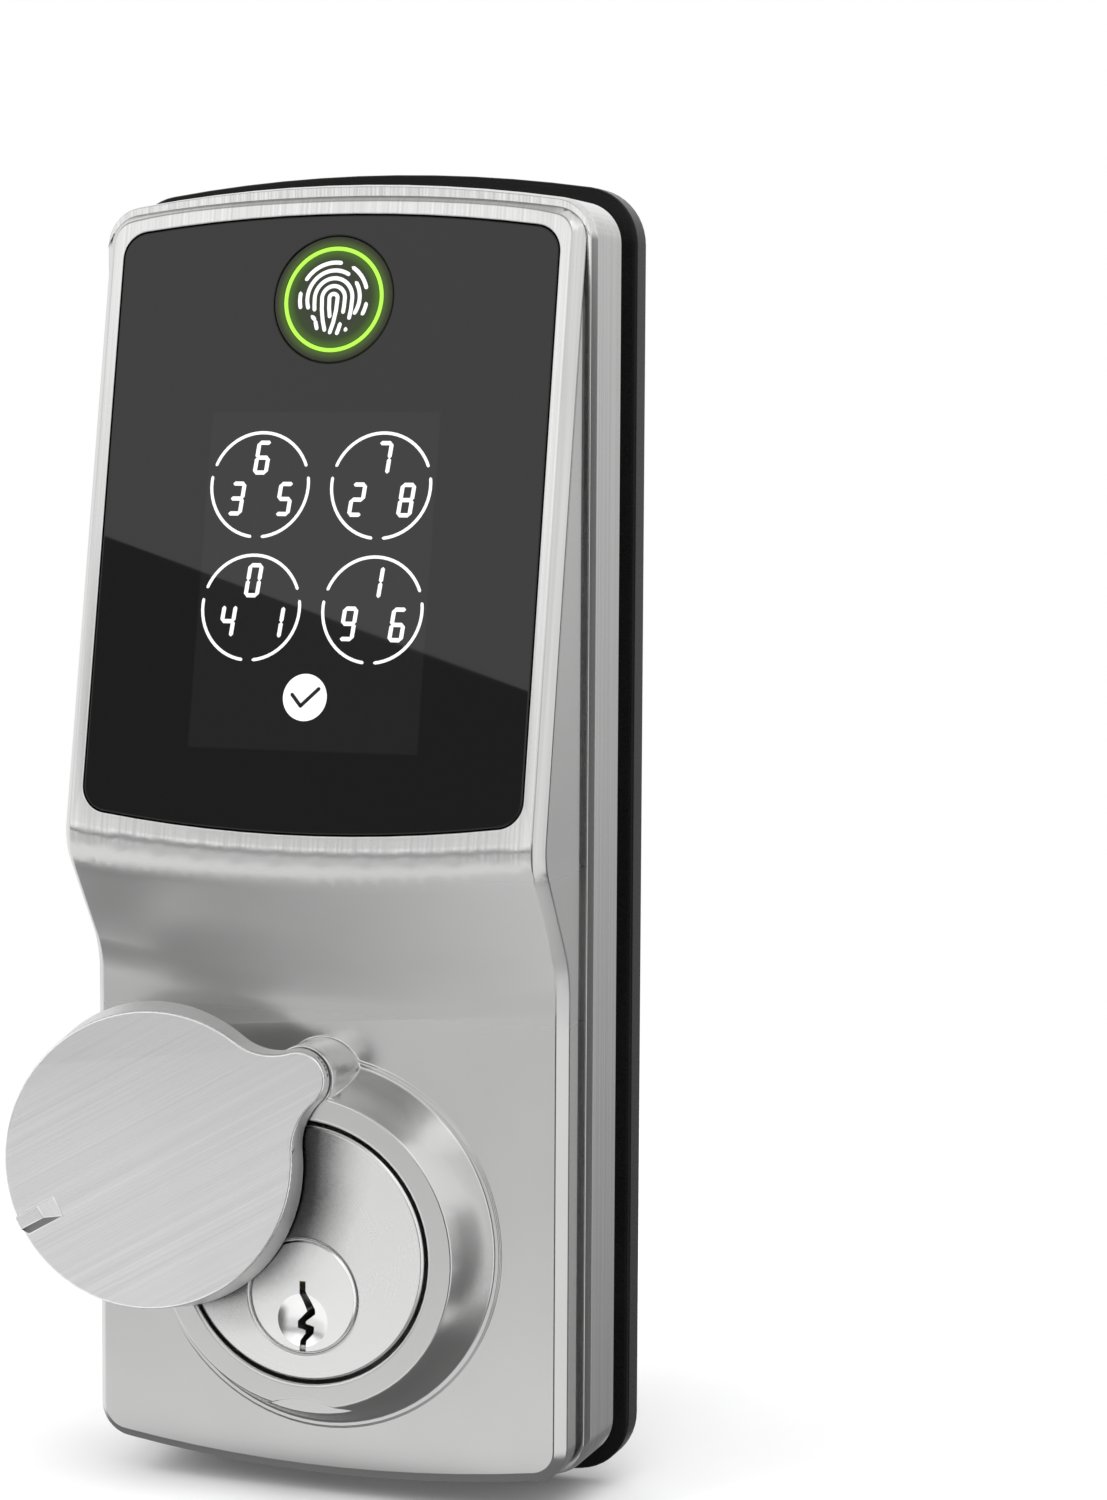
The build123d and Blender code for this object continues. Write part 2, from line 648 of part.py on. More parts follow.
def cable_grommet():
    """Rubber outlet for the cable, held by the back plate."""
    back = GASKET_DEPTH - GROMMET_FLANGE_THICKNESS
    front = PLATE_FRONT + GROMMET_FLANGE_THICKNESS
    ring = rod(GROMMET_RADIUS, back, front, z=GROMMET_Z)
    ring += rod(GROMMET_FLANGE_RADIUS, back, GASKET_DEPTH, z=GROMMET_Z)
    ring += rod(GROMMET_FLANGE_RADIUS, PLATE_FRONT, front, z=GROMMET_Z)
    return ring - rod(GROMMET_BORE_RADIUS, back - 1, front + 1, z=GROMMET_Z)


def touch_glass():
    """Touch glass with the opening of the fingerprint sensor."""
    pane = glass_outline(0) - sensor_disc(SENSOR_RADIUS + SENSOR_CLEARANCE)
    return bezel_slab(pane, 0, GLASS_THICKNESS)


def glass_adhesive():
    """Adhesive frame under the edge of the glass."""
    frame = glass_outline(0) - glass_outline(-ADHESIVE_WIDTH)
    return bezel_slab(frame, GLASS_THICKNESS, POCKET_DEPTH)


def display_panel():
    """Display bonded to the back of the glass."""
    return bezel_slab(display_outline(0), GLASS_THICKNESS, FLOOR_BACK)


def display_frame():
    """Plastic frame that backs the display against the housing."""
    frame = display_outline(DISPLAY_FRAME_MARGIN) - display_outline(-DISPLAY_FRAME_LIP)
    return bezel_slab(frame, FLOOR_BACK, FLOOR_BACK + DISPLAY_FRAME_THICKNESS)


def ribbon(points):
    """Folded flat cable through depth and height points, from the top down."""
    back = [(depth - RIBBON_THICKNESS, z) for depth, z in reversed(points)]
    face = make_face(Polyline(*points, *back, close=True))
    plane = side_plane(-RIBBON_WIDTH / 2)
    return extrude(plane * face, amount=RIBBON_WIDTH, dir=(1, 0, 0))


def bezel_point(z, below):
    """Depth and height of a point below the bezel plane."""
    depth = BULGE_DEPTH + BEZEL_SLOPE * (BULGE_Z - z) - below / BEZEL_COS
    return depth, z


def display_flex():
    """Flat cable from the display to the board."""
    flat = BOARD_FRONT + RIBBON_THICKNESS
    top = bezel_point(DISPLAY_LOW_Z + 2 * RIBBON_LAP, FLOOR_BACK)
    fold = bezel_point(DISPLAY_LOW_Z + RIBBON_LAP, FLOOR_BACK)
    bend = RIBBON_BEND / 2
    plug_z = BOARD_LOW_Z + CONNECTOR_INSET + CONNECTOR_HEIGHT + RIBBON_GAP
    return ribbon([
        top, fold, (fold[0] - RIBBON_BEND, DISPLAY_LOW_Z + bend),
        (flat + bend / 2, DISPLAY_LOW_Z - bend),
        (flat, DISPLAY_LOW_Z - RIBBON_BEND), (flat, plug_z),
    ])


def fingerprint_sensor():
    """Fingerprint sensor: button, flange and stem."""
    button = bezel_slab(sensor_disc(SENSOR_RADIUS), 0, GLASS_THICKNESS)
    flange = bezel_slab(sensor_disc(SENSOR_FLANGE_RADIUS), GLASS_THICKNESS, FLOOR_BACK)
    stem = bezel_slab(sensor_disc(SENSOR_STEM_RADIUS), FLOOR_BACK, SENSOR_STEM_BACK)
    return button + flange + stem - sensor_light_ring()


def sensor_light_ring():
    """Light ring set into the face of the sensor."""
    ring = sensor_disc(LIGHT_RING_OUTER) - sensor_disc(LIGHT_RING_INNER)
    return bezel_slab(ring, 0, LIGHT_RING_THICKNESS)


def sensor_retainer():
    """Ring that holds the sensor from behind."""
    ring = sensor_disc(RETAINER_RADIUS) - sensor_disc(SENSOR_STEM_RADIUS + SENSOR_CLEARANCE)
    ring = bezel_slab(ring, FLOOR_BACK, FLOOR_BACK + RETAINER_THICKNESS)
    return ring - block(-BLOCK, BLOCK, 0, BLOCK, RETAINER_FLAT_Z, FRONT_TOP)


def sensor_flex():
    """Flat cable from the sensor to the board."""
    low = SENSOR_Z - SENSOR_STEM_RADIUS
    top = bezel_point(SENSOR_Z + SENSOR_FLEX_LAP, SENSOR_STEM_BACK)
    edge = bezel_point(low + SENSOR_FLEX_LAP / 2, SENSOR_STEM_BACK)
    flat = BOARD_FRONT + RIBBON_THICKNESS
    landing = BOARD_HIGH_Z - CONNECTOR_INSET
    return ribbon([top, edge, (flat, landing), (flat, BOARD_HIGH_Z - RIBBON_LAP)])


def main_board():
    """Circuit board on its standoffs."""
    width = 2 * BOARD_HALF_WIDTH
    height = BOARD_HIGH_Z - BOARD_LOW_Z
    face = Pos(0, (BOARD_LOW_Z + BOARD_HIGH_Z) / 2) * RectangleRounded(
        width, height, BOARD_CORNER_RADIUS
    )
    board = slab(face, BOARD_BACK, BOARD_FRONT)
    for x, z in BOARD_SCREW_PLACES:
        board -= rod(BOARD_SCREW_RADIUS + HOLE_CLEARANCE, BOARD_BACK - 1, BOARD_FRONT + 1, x, z)
    return board


def board_chips():
    """Packages on the board."""
    return Compound([
        block(x - w / 2, x + w / 2, BOARD_FRONT, BOARD_FRONT + CHIP_HEIGHT,
              BOARD_LOW_Z + z - h / 2, BOARD_LOW_Z + z + h / 2)
        for x, z, w, h in CHIPS
    ])


def buzzer():
    """Sounder on the board, with its sound hole."""
    front = BOARD_FRONT + BUZZER_HEIGHT
    body = rod(BUZZER_RADIUS, BOARD_FRONT, front, BUZZER_X, BUZZER_Z)
    hole = front - BUZZER_HOLE_DEPTH
    return body - rod(BUZZER_RADIUS / 5, hole, front + 1, BUZZER_X, BUZZER_Z)


def board_connector():
    """Socket of the cable at the foot of the board."""
    z0 = BOARD_LOW_Z + CONNECTOR_INSET
    half = CONNECTOR_WIDTH / 2
    front = BOARD_FRONT + CONNECTOR_DEPTH
    body = block(-half, half, BOARD_FRONT, front, z0, z0 + CONNECTOR_HEIGHT)
    wall = CONNECTOR_WALL
    mouth = block(
        wall - half, half - wall, BOARD_FRONT + wall, front - wall,
        z0 - 1, z0 + CONNECTOR_HEIGHT - wall,
    )
    return body - mouth


def board_standoffs():
    """Standoffs on the back plate under the board's corners."""
    posts = []
    for x, z in BOARD_SCREW_PLACES:
        post = rod(STANDOFF_RADIUS, PLATE_FRONT, BOARD_BACK, x, z)
        bore = BOARD_SCREW_RADIUS + THREAD_CLEARANCE
        floor = PLATE_FRONT + STANDOFF_FLOOR
        posts.append(post - rod(bore, floor, BOARD_BACK + 1, x, z))
    return Compound(posts)


def board_screws():
    """Screws that hold the board on its standoffs."""
    screws = []
    for x, z in BOARD_SCREW_PLACES:
        shank = rod(BOARD_SCREW_RADIUS, BOARD_FRONT - BOARD_SCREW_LENGTH, BOARD_FRONT, x, z)
        head = rod(
            BOARD_SCREW_HEAD_RADIUS, BOARD_FRONT, BOARD_FRONT + BOARD_SCREW_HEAD_HEIGHT, x, z
        )
        screws.append(shank + head)
    return Compound(screws)


def cylinder_shell():
    """Stationary body of the lock cylinder, with collar and pin chambers."""
    collar_back = INNER_FACE - COLLAR_THICKNESS
    face = rod(SHELL_RADIUS, collar_back, BOSS_FACE_DEPTH, z=BOSS_Z)
    face = chamfer(face.faces().sort_by(Axis.Y)[0].edges(), EDGE_BREAK)
    shell = face + rod(SHELL_REAR_RADIUS, SHELL_BACK, collar_back, z=BOSS_Z)
    collar = rod(COLLAR_RADIUS, collar_back, INNER_FACE, z=BOSS_Z)
    for side in (-1, 1):
        relief = KEEPER_EAR_RADIUS + HOLE_CLEARANCE
        collar -= rod(relief, collar_back, INNER_FACE, side * KEEPER_SCREW_X, BOSS_Z)
    shell += collar - block(-BLOCK, BLOCK, 0, BLOCK, COLLAR_FLAT_Z, BLOCK)
    mouth = PLUG_COLLAR_THICKNESS + PLUG_END_PLAY
    mouth_radius = PLUG_COLLAR_RADIUS + PLUG_CLEARANCE
    shell -= rod(PLUG_RADIUS + PLUG_CLEARANCE, SHELL_BACK - 1, BLOCK)
    shell -= rod(mouth_radius, BOSS_FACE_DEPTH - mouth, BLOCK)
    shell -= cone(
        mouth_radius, mouth_radius + EDGE_BREAK, BOSS_FACE_DEPTH - EDGE_BREAK, BOSS_FACE_DEPTH
    )
    for depth in PIN_DEPTHS:
        shell -= upright(CHAMBER_RADIUS, 0, CAP_SLOT_Z + 1, depth)
    return shell - cap_strip(CAP_STRIP_CLEARANCE, BLOCK)


def cap_strip(clearance, height):
    """Strip over the pin chambers, or the slot that takes it."""
    half = CAP_STRIP_HALF_WIDTH + clearance
    margin = CAP_STRIP_MARGIN + clearance
    return block(
        -half, half, PIN_DEPTHS[-1] - margin, PIN_DEPTHS[0] + margin,
        CAP_SLOT_Z, CAP_SLOT_Z + height,
    )


def chamber_cap():
    """Brass strip that closes the pin chambers."""
    return cap_strip(0, CAP_STRIP_THICKNESS)


def cylinder_keeper():
    """Ring behind the collar that clamps the cylinder to the front housing."""
    front = INNER_FACE - COLLAR_THICKNESS
    back = front - KEEPER_THICKNESS
    ring = rod(KEEPER_RADIUS, back, front, z=BOSS_Z)
    for side in (-1, 1):
        ring += rod(KEEPER_EAR_RADIUS, back, front, side * KEEPER_SCREW_X, BOSS_Z)
    ring += block(
        -KEEPER_SCREW_X, KEEPER_SCREW_X, back, front,
        BOSS_Z - KEEPER_EAR_RADIUS, BOSS_Z + KEEPER_EAR_RADIUS,
    )
    ring -= rod(SHELL_REAR_RADIUS + KEEPER_CLEARANCE, back - 1, front + 1, z=BOSS_Z)
    for side in (-1, 1):
        x = side * KEEPER_SCREW_X
        ring -= rod(COVER_SCREW_RADIUS + HOLE_CLEARANCE, back - 1, front + 1, x, BOSS_Z)
    return ring - block(-BLOCK, BLOCK, 0, BLOCK, COLLAR_FLAT_Z, BLOCK)


def keeper_screws():
    """Screws of the cylinder keeper."""
    seat = INNER_FACE - COLLAR_THICKNESS - KEEPER_THICKNESS
    screws = []
    for side in (-1, 1):
        x = side * KEEPER_SCREW_X
        head = rod(
            KEEPER_SCREW_HEAD_RADIUS, seat - KEEPER_SCREW_HEAD_HEIGHT, seat, x, BOSS_Z
        )
        shank = rod(COVER_SCREW_RADIUS, seat, seat + KEEPER_SCREW_LENGTH, x, BOSS_Z)
        screws.append(head + shank)
    return Compound(screws)


def driver_pins():
    """Upper pins, resting at the shear line."""
    return Compound([
        upright(PIN_RADIUS, DRIVER_BOTTOM, DRIVER_BOTTOM + DRIVER_LENGTH, depth)
        for depth in PIN_DEPTHS
    ])


def pin_springs():
    """Springs of the upper pins, as plain sleeves."""
    low = DRIVER_BOTTOM + DRIVER_LENGTH
    return Compound([
        upright(PIN_RADIUS, low, CAP_SLOT_Z, depth)
        - upright(PIN_RADIUS - SPRING_WALL, low - 1, CAP_SLOT_Z + 1, depth)
        for depth in PIN_DEPTHS
    ])


def key_pins():
    """Lower pins of different lengths, with coned tips."""
    pins = []
    for depth, bottom in zip(PIN_DEPTHS, KEY_PIN_BOTTOMS):
        body = upright(PIN_RADIUS, bottom + PIN_TIP, KEY_PIN_TOP, depth)
        tip = Pos(0, -depth, bottom) * Cone(
            PIN_RADIUS / 3, PIN_RADIUS, PIN_TIP, align=UP_FROM
        )
        pins.append(body + tip)
    return Compound(pins)


def keyway():
    """Warded slot of the plug, seen from the room."""
    half, top, bottom = KEYWAY_HALF, KEYWAY_TOP, KEYWAY_BOTTOM
    neck_left, neck_right = KEYWAY_NECK
    toe, ankle = KEYWAY_FOOT
    return make_face(Polyline(
        (-half, top), (-half, neck_left), *KEYWAY_LEFT, (-half, ankle), (-half, bottom),
        (half, bottom), (half, ankle), (KEYWAY_RIGHT[-1][0], toe), *reversed(KEYWAY_RIGHT),
        (half, neck_right), (half, top), close=True,
    ))


def key_plug():
    """Turning plug with its collar, keyway, key entry and chambers."""
    collar_back = BOSS_FACE_DEPTH - PLUG_COLLAR_THICKNESS
    collar = rod(PLUG_COLLAR_RADIUS, collar_back, BOSS_FACE_DEPTH)
    collar = chamfer(collar.faces().sort_by(Axis.Y)[0].edges(), EDGE_BREAK)
    plug_back = SHELL_BACK - PLUG_END_PLAY
    plug = collar + rod(PLUG_RADIUS, plug_back, collar_back)
    plug -= slab(keyway(), KEYWAY_BACK, BLOCK)
    dish = (KEY_ENTRY_RADIUS**2 + KEY_ENTRY_DEPTH**2) / (2 * KEY_ENTRY_DEPTH)
    dish_depth = BOSS_FACE_DEPTH - KEY_ENTRY_DEPTH + dish
    plug -= Pos(0, -dish_depth, KEY_ENTRY_Z) * Sphere(dish)
    for depth in PIN_DEPTHS:
        plug -= upright(CHAMBER_RADIUS, CHAMBER_BOTTOM, PLUG_RADIUS + 1, depth)
    for side in (-1, 1):
        bore = CAP_SCREW_RADIUS + THREAD_CLEARANCE
        tip = plug_back - PLUG_CAP_THICKNESS + CAP_SCREW_LENGTH + BLIND_MARGIN
        plug -= rod(bore, plug_back - 1, tip, side * CAP_SCREW_X)
    return plug


def plug_cap():
    """Cap behind the plug that holds it in and grips the tailpiece."""
    front = SHELL_BACK - PLUG_END_PLAY
    back = front - PLUG_CAP_THICKNESS
    cap = rod(PLUG_CAP_RADIUS, back, front)
    slot_x = TAIL_THICKNESS / 2 + TAIL_CLEARANCE
    slot_z = TAIL_WIDTH / 2 + TAIL_CLEARANCE
    cap -= block(-slot_x, slot_x, back - 1, front + 1, -slot_z, slot_z)
    foot_x = TAIL_FOOT_THICKNESS / 2 + TAIL_CLEARANCE
    foot_z = TAIL_FOOT_WIDTH / 2 + TAIL_CLEARANCE
    cap -= block(-foot_x, foot_x, front - TAIL_FOOT_HEIGHT, front + 1, -foot_z, foot_z)
    for side in (-1, 1):
        cap -= rod(CAP_SCREW_RADIUS + HOLE_CLEARANCE, back - 1, front + 1, side * CAP_SCREW_X)
    return cap


def cap_screws():
    """Screws that hold the cap on the plug."""
    seat = SHELL_BACK - PLUG_END_PLAY - PLUG_CAP_THICKNESS
    screws = []
    for side in (-1, 1):
        x = side * CAP_SCREW_X
        head = rod(CAP_SCREW_HEAD_RADIUS, seat - CAP_SCREW_HEAD_HEIGHT, seat, x)
        screws.append(head + rod(CAP_SCREW_RADIUS, seat, seat + CAP_SCREW_LENGTH, x))
    return Compound(screws)


def tailpiece():
    """Flat bar that turns the bolt, with its foot held by the cap."""
    front = SHELL_BACK - PLUG_END_PLAY
    foot = block(
        -TAIL_FOOT_THICKNESS / 2, TAIL_FOOT_THICKNESS / 2, front - TAIL_FOOT_HEIGHT, front,
        -TAIL_FOOT_WIDTH / 2, TAIL_FOOT_WIDTH / 2,
    )
    bar = block(
        -TAIL_THICKNESS / 2, TAIL_THICKNESS / 2, -TAIL_END, front,
        -TAIL_WIDTH / 2, TAIL_WIDTH / 2,
    )
    corners = bar.edges().filter_by(Axis.X).group_by(Axis.Y)[-1]
    return foot + chamfer(corners, TAIL_TIP / 2, TAIL_TIP / 2)


def cover_front_plane():
    """Front plane of the closed cover, centred on its disc."""
    tilt = math.radians(COVER_TILT)
    return Plane(
        origin=(0, -COVER_CENTRE_DEPTH, BOSS_Z), x_dir=(1, 0, 0),
        z_dir=(0, -math.cos(tilt), math.sin(tilt)),
    )


def cover_tab():
    """Finger tab at the rim of the closed cover."""
    plane = cover_front_plane()
    foot = Pos(0, -(TAB_INNER + TAB_OUTER) / 2, -TAB_SINK) * Rectangle(
        2 * TAB_HALF_WIDTH, TAB_OUTER - TAB_INNER
    )
    left = TAB_STEEP_RUN - TAB_HALF_WIDTH
    right = TAB_HALF_WIDTH - TAB_SIDE_RUN
    inner = TAB_INNER + TAB_END_RUN
    outer = TAB_OUTER - TAB_STEEP_RUN
    crown = Pos((left + right) / 2, -(inner + outer) / 2, TAB_HEIGHT) * Rectangle(
        right - left, outer - inner
    )
    return loft([plane * foot, plane * crown], ruled=True)


def closed_cover():
    """Wedge-shaped cover in its closed place, with its pivot post."""
    disc = Pos(0, BOSS_Z) * Circle(COVER_BACK_RADIUS)
    lobe = Pos(0, PIVOT_Z) * Circle(COVER_LOBE_RADIUS)
    face = disc + lobe
    necks = [v for v in face.vertices() if abs(v.X) > 1]
    face = fillet(necks, COVER_NECK_RADIUS)
    tall = COVER_THICKNESS + COVER_BACK_RADIUS * math.sin(math.radians(COVER_TILT)) * 2
    wedge = extrude(
        at_depth(COVER_BACK) * face, amount=tall, dir=FRONT, taper=COVER_DRAFT
    )
    plane = cover_front_plane()
    wedge &= plane * Box(FAR, FAR, FAR, align=DOWN_FROM)
    top = max(wedge.faces(), key=lambda f: f.normal_at().dot(plane.z_dir))
    wedge = fillet(top.edges(), COVER_EDGE)
    post_end = INNER_FACE - WASHER_THICKNESS
    cover = wedge + cover_tab() + rod(PIVOT_RADIUS, post_end, COVER_BACK, z=PIVOT_Z)
    bore = COVER_SCREW_RADIUS + THREAD_CLEARANCE
    return cover - rod(bore, post_end - 1, post_end + COVER_SCREW_LENGTH, z=PIVOT_Z)


def key_cover():
    """Cover as shown, swung aside on its lug."""
    hinge = Axis((0, 0, PIVOT_Z), (0, 1, 0))
    return closed_cover().rotate(hinge, COVER_REST_ANGLE)


def cover_washer():
    """Friction washer between the lug's inside and the cover screw."""
    back = INNER_FACE - WASHER_THICKNESS
    ring = rod(WASHER_RADIUS, back, INNER_FACE, z=PIVOT_Z)
    return ring - rod(PIVOT_RADIUS + PIVOT_CLEARANCE, back - 1, INNER_FACE + 1, z=PIVOT_Z)


def cover_screw():
    """Screw that holds the cover's post from inside."""
    seat = INNER_FACE - WASHER_THICKNESS
    head = rod(COVER_SCREW_HEAD_RADIUS, seat - COVER_SCREW_HEAD_HEIGHT, seat, z=PIVOT_Z)
    return head + rod(COVER_SCREW_RADIUS, seat, seat + COVER_SCREW_LENGTH - COVER_SCREW_TIP, z=PIVOT_Z)


PIECES = [
    door_gasket, back_plate, housing_screws, mounting_posts, cable_grommet,
    rear_housing, front_housing, touch_glass, glass_adhesive,
    display_panel, display_frame, display_flex,
    fingerprint_sensor, sensor_light_ring, sensor_retainer, sensor_flex,
    main_board, board_chips, buzzer, board_connector, board_standoffs, board_screws,
    cylinder_shell, chamber_cap, cylinder_keeper, keeper_screws, driver_pins, pin_springs,
    key_plug, key_pins, plug_cap, cap_screws, tailpiece,
    key_cover, cover_washer, cover_screw,
]


def main():
    """Write one STEP file for each piece."""
    os.makedirs("parts", exist_ok=True)
    for piece in PIECES:
        export_step(piece(), f"parts/{piece.__name__}.step")


if __name__ == "__main__":
    main()
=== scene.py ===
"""Looks of a keypad door lock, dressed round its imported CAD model."""

import logging
import math
from dataclasses import dataclass
from enum import Enum
from typing import Any, Callable, Optional, Sequence

import bpy
from mathutils import Matrix, Vector


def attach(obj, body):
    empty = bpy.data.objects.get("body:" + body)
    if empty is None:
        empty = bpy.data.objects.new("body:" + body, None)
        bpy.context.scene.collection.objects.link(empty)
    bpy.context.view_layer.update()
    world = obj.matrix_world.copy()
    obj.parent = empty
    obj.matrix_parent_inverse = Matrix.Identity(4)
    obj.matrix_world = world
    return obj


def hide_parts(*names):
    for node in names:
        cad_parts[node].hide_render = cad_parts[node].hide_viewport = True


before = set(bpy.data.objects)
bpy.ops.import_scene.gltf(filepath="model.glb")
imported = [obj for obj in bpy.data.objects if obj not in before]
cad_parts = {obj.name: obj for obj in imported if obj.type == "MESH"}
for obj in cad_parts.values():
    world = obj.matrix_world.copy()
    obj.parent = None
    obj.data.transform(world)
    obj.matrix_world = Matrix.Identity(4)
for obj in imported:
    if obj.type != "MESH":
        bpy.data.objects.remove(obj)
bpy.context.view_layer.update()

MM = 0.001
LOG = logging.getLogger("keypad_lock")

Colour = tuple[float, float, float]
Place = tuple[float, float, float]
Point = tuple[float, float]
Socket = bpy.types.NodeSocket
Material = bpy.types.Material
Piece = bpy.types.Object

# Range that most of a noise lies in, and results that a share runs between
NOISE: Point = (0.3, 0.7)
RISE: Point = (0.0, 1.0)
FALL: Point = (1.0, 0.0)

# Points closer than this are the same point, in metres
SAME = 1e-7

# Blender's wave texture at scale 1 repeats over this length
WAVE_LENGTH = 0.314


class Body(Enum):
    """Moving bodies of the lock."""

    HOUSING = "housing"
    PLUG = "plug"
    COVER = "cover"


class Slot(Enum):
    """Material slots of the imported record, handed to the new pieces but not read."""

    NICKEL = "satin_nickel"
    CYLINDER = "satin_nickel_cylinder"
    RUBBER = "black_rubber"
    GLASS = "black_glass"
    BLACK_PLASTIC = "black_plastic"
    WHITE_PLASTIC = "white_plastic"
    SENSOR = "sensor_black"
    LIGHT = "light_ring"


def screen_colour(red: int, green: int, blue: int) -> Colour:
    """Linear colour of a screen value.

    Args:
        red: Red from 0 to 255.
        green: Green from 0 to 255.
        blue: Blue from 0 to 255.

    Returns:
        The three linear channels.
    """

    def channel(value: int) -> float:
        """One channel, by the sRGB curve."""
        share = value / 255.0
        return share / 12.92 if share <= 0.04045 else ((share + 0.055) / 1.055) ** 2.4

    return channel(red), channel(green), channel(blue)


def toned(colour: Colour, share: float) -> Colour:
    """A colour made darker or lighter, at most white."""
    return tuple(min(part * share, 1.0) for part in colour)


def around(middle: float, spread: float) -> Point:
    """A pair of values on both sides of a middle."""
    return middle - spread, middle + spread


@dataclass(frozen=True)
class Shade:
    """Soft shade that another part throws on a face close to it.

    Args:
        openness: Open share with the deepest shade, and with none.
        deepest: Level of the deepest shade.
        reach: How far away a part still shades the face, in millimetres.
        way: Side on which parts shade the face.
        face_depth: Depth of the only face that is shaded, in millimetres.
        face_slack: How far behind that face the shade starts to end, and ends.
        least_open: Least open share that the face has by itself.
        samples: Samples of the open share.
    """

    openness: Point
    deepest: float
    reach: float = 9.0
    way: Place = (-0.72, -0.34, -0.6)
    face_depth: float = 25.07
    face_slack: Point = (0.05, 0.25)
    least_open: float = 0.05
    samples: int = 16


class Sheet:
    """Node sheet of one material."""

    def __init__(self, name: str) -> None:
        """Start a material with a plain shader.

        Args:
            name: Name of the material.
        """
        self.material = bpy.data.materials.new(name)
        self.material.use_nodes = True
        self.tree = self.material.node_tree
        self.shader = self.tree.nodes["Principled BSDF"]

    def feed(self, socket: Socket, value: Any) -> None:
        """Link or set one socket.

        Args:
            socket: Socket to fill.
            value: Another socket, or a plain value.
        """
        if isinstance(value, Socket):
            self.tree.links.new(value, socket)
        else:
            socket.default_value = value

    def node(self, kind: str, inputs: dict[Any, Any], **settings: Any) -> bpy.types.Node:
        """Add a node.

        Args:
            kind: Blender's name of the node type.
            inputs: Values or links by socket name or number.
            settings: Properties of the node itself.

        Returns:
            The new node.
        """
        made = self.tree.nodes.new(kind)
        for key, value in settings.items():
            setattr(made, key, value)
        for key, value in inputs.items():
            self.feed(made.inputs[key], value)
        return made

    def surface(self, **values: Any) -> None:
        """Set sockets of the shader.

        Args:
            values: Values or links by socket name, with underscores for spaces.
        """
        for key, value in values.items():
            if isinstance(value, tuple) and len(value) == 3:
                value = (*value, 1.0)
            self.feed(self.shader.inputs[key.replace("_", " ")], value)

    def place(
        self,
        grain: Place = (1.0, 1.0, 1.0),
        turn: Place = (0.0, 0.0, 0.0),
        centre: Place = (0.0, 0.0, 0.0),
    ) -> Socket:
        """Object coordinates, moved to a centre, turned, then divided by a grain.

        Args:
            grain: Size of one pattern unit along each turned axis, in metres.
            turn: Turn about each axis in degrees.
            centre: Point that becomes the pattern's origin.

        Returns:
            The vector socket.
        """
        source = self.node("ShaderNodeTexCoord", {}).outputs["Object"]
        turned = tuple(math.radians(angle) for angle in turn)
        inputs = {"Vector": source, "Location": centre, "Rotation": turned, "Scale": grain}
        mapping = self.node("ShaderNodeMapping", inputs, vector_type="TEXTURE")
        return mapping.outputs["Vector"]

    def noise(self, vector: Socket, scale: float = 1.0, detail: float = 2.0) -> Socket:
        """Cloudy noise from 0 to 1."""
        inputs = {"Vector": vector, "Scale": scale, "Detail": detail}
        return self.node("ShaderNodeTexNoise", inputs).outputs[0]

    def span(
        self, value: Socket, source: Sequence[float], result: Point, smooth: bool = False
    ) -> Socket:
        """Map a value's range to another.

        Args:
            value: Socket to map.
            source: Values at the two ends of the range.
            result: Results at these ends.
            smooth: Ease in and out.

        Returns:
            The mapped socket.
        """
        inputs = {
            "Value": value, "From Min": source[0], "From Max": source[1],
            "To Min": result[0], "To Max": result[1],
        }
        kind = "SMOOTHSTEP" if smooth else "LINEAR"
        made = self.node("ShaderNodeMapRange", inputs, interpolation_type=kind)
        return made.outputs["Result"]

    def tint(self, value: Socket, places: Sequence[float], colours: Sequence[Colour]) -> Socket:
        """Colour ramp.

        Args:
            value: Socket from 0 to 1.
            places: Places of the ramp's colours.
            colours: Colours at these places.

        Returns:
            The colour socket.
        """
        ramp = self.node("ShaderNodeValToRGB", {"Fac": value})
        elements = ramp.color_ramp.elements
        while len(elements) < len(places):
            elements.new(0.5)
        for element, place, colour in zip(elements, places, colours):
            element.position = place
            element.color = (*colour, 1.0)
        return ramp.outputs["Color"]

    def maths(self, operation: str, first: Any, second: Any = 0.0) -> Socket:
        """One step of arithmetic."""
        made = self.node("ShaderNodeMath", {0: first, 1: second}, operation=operation)
        return made.outputs["Value"]

    def away(self, value: Socket, middle: float) -> Socket:
        """Distance of a value from a middle."""
        return self.maths("ABSOLUTE", self.maths("SUBTRACT", value, middle))

    def length(self, first: Any, second: Any) -> Socket:
        """Length of a flat vector from its two parts."""
        squares = [self.maths("MULTIPLY", part, part) for part in (first, second)]
        return self.maths("SQRT", self.maths("ADD", *squares))

    def axes(self, vector: Socket) -> bpy.types.NodeOutputs:
        """The three parts of a vector."""
        return self.node("ShaderNodeSeparateXYZ", {"Vector": vector}).outputs

    def vector(self, parts: Place) -> Socket:
        """Vector from three parts."""
        return self.node("ShaderNodeCombineXYZ", dict(zip("XYZ", parts))).outputs["Vector"]

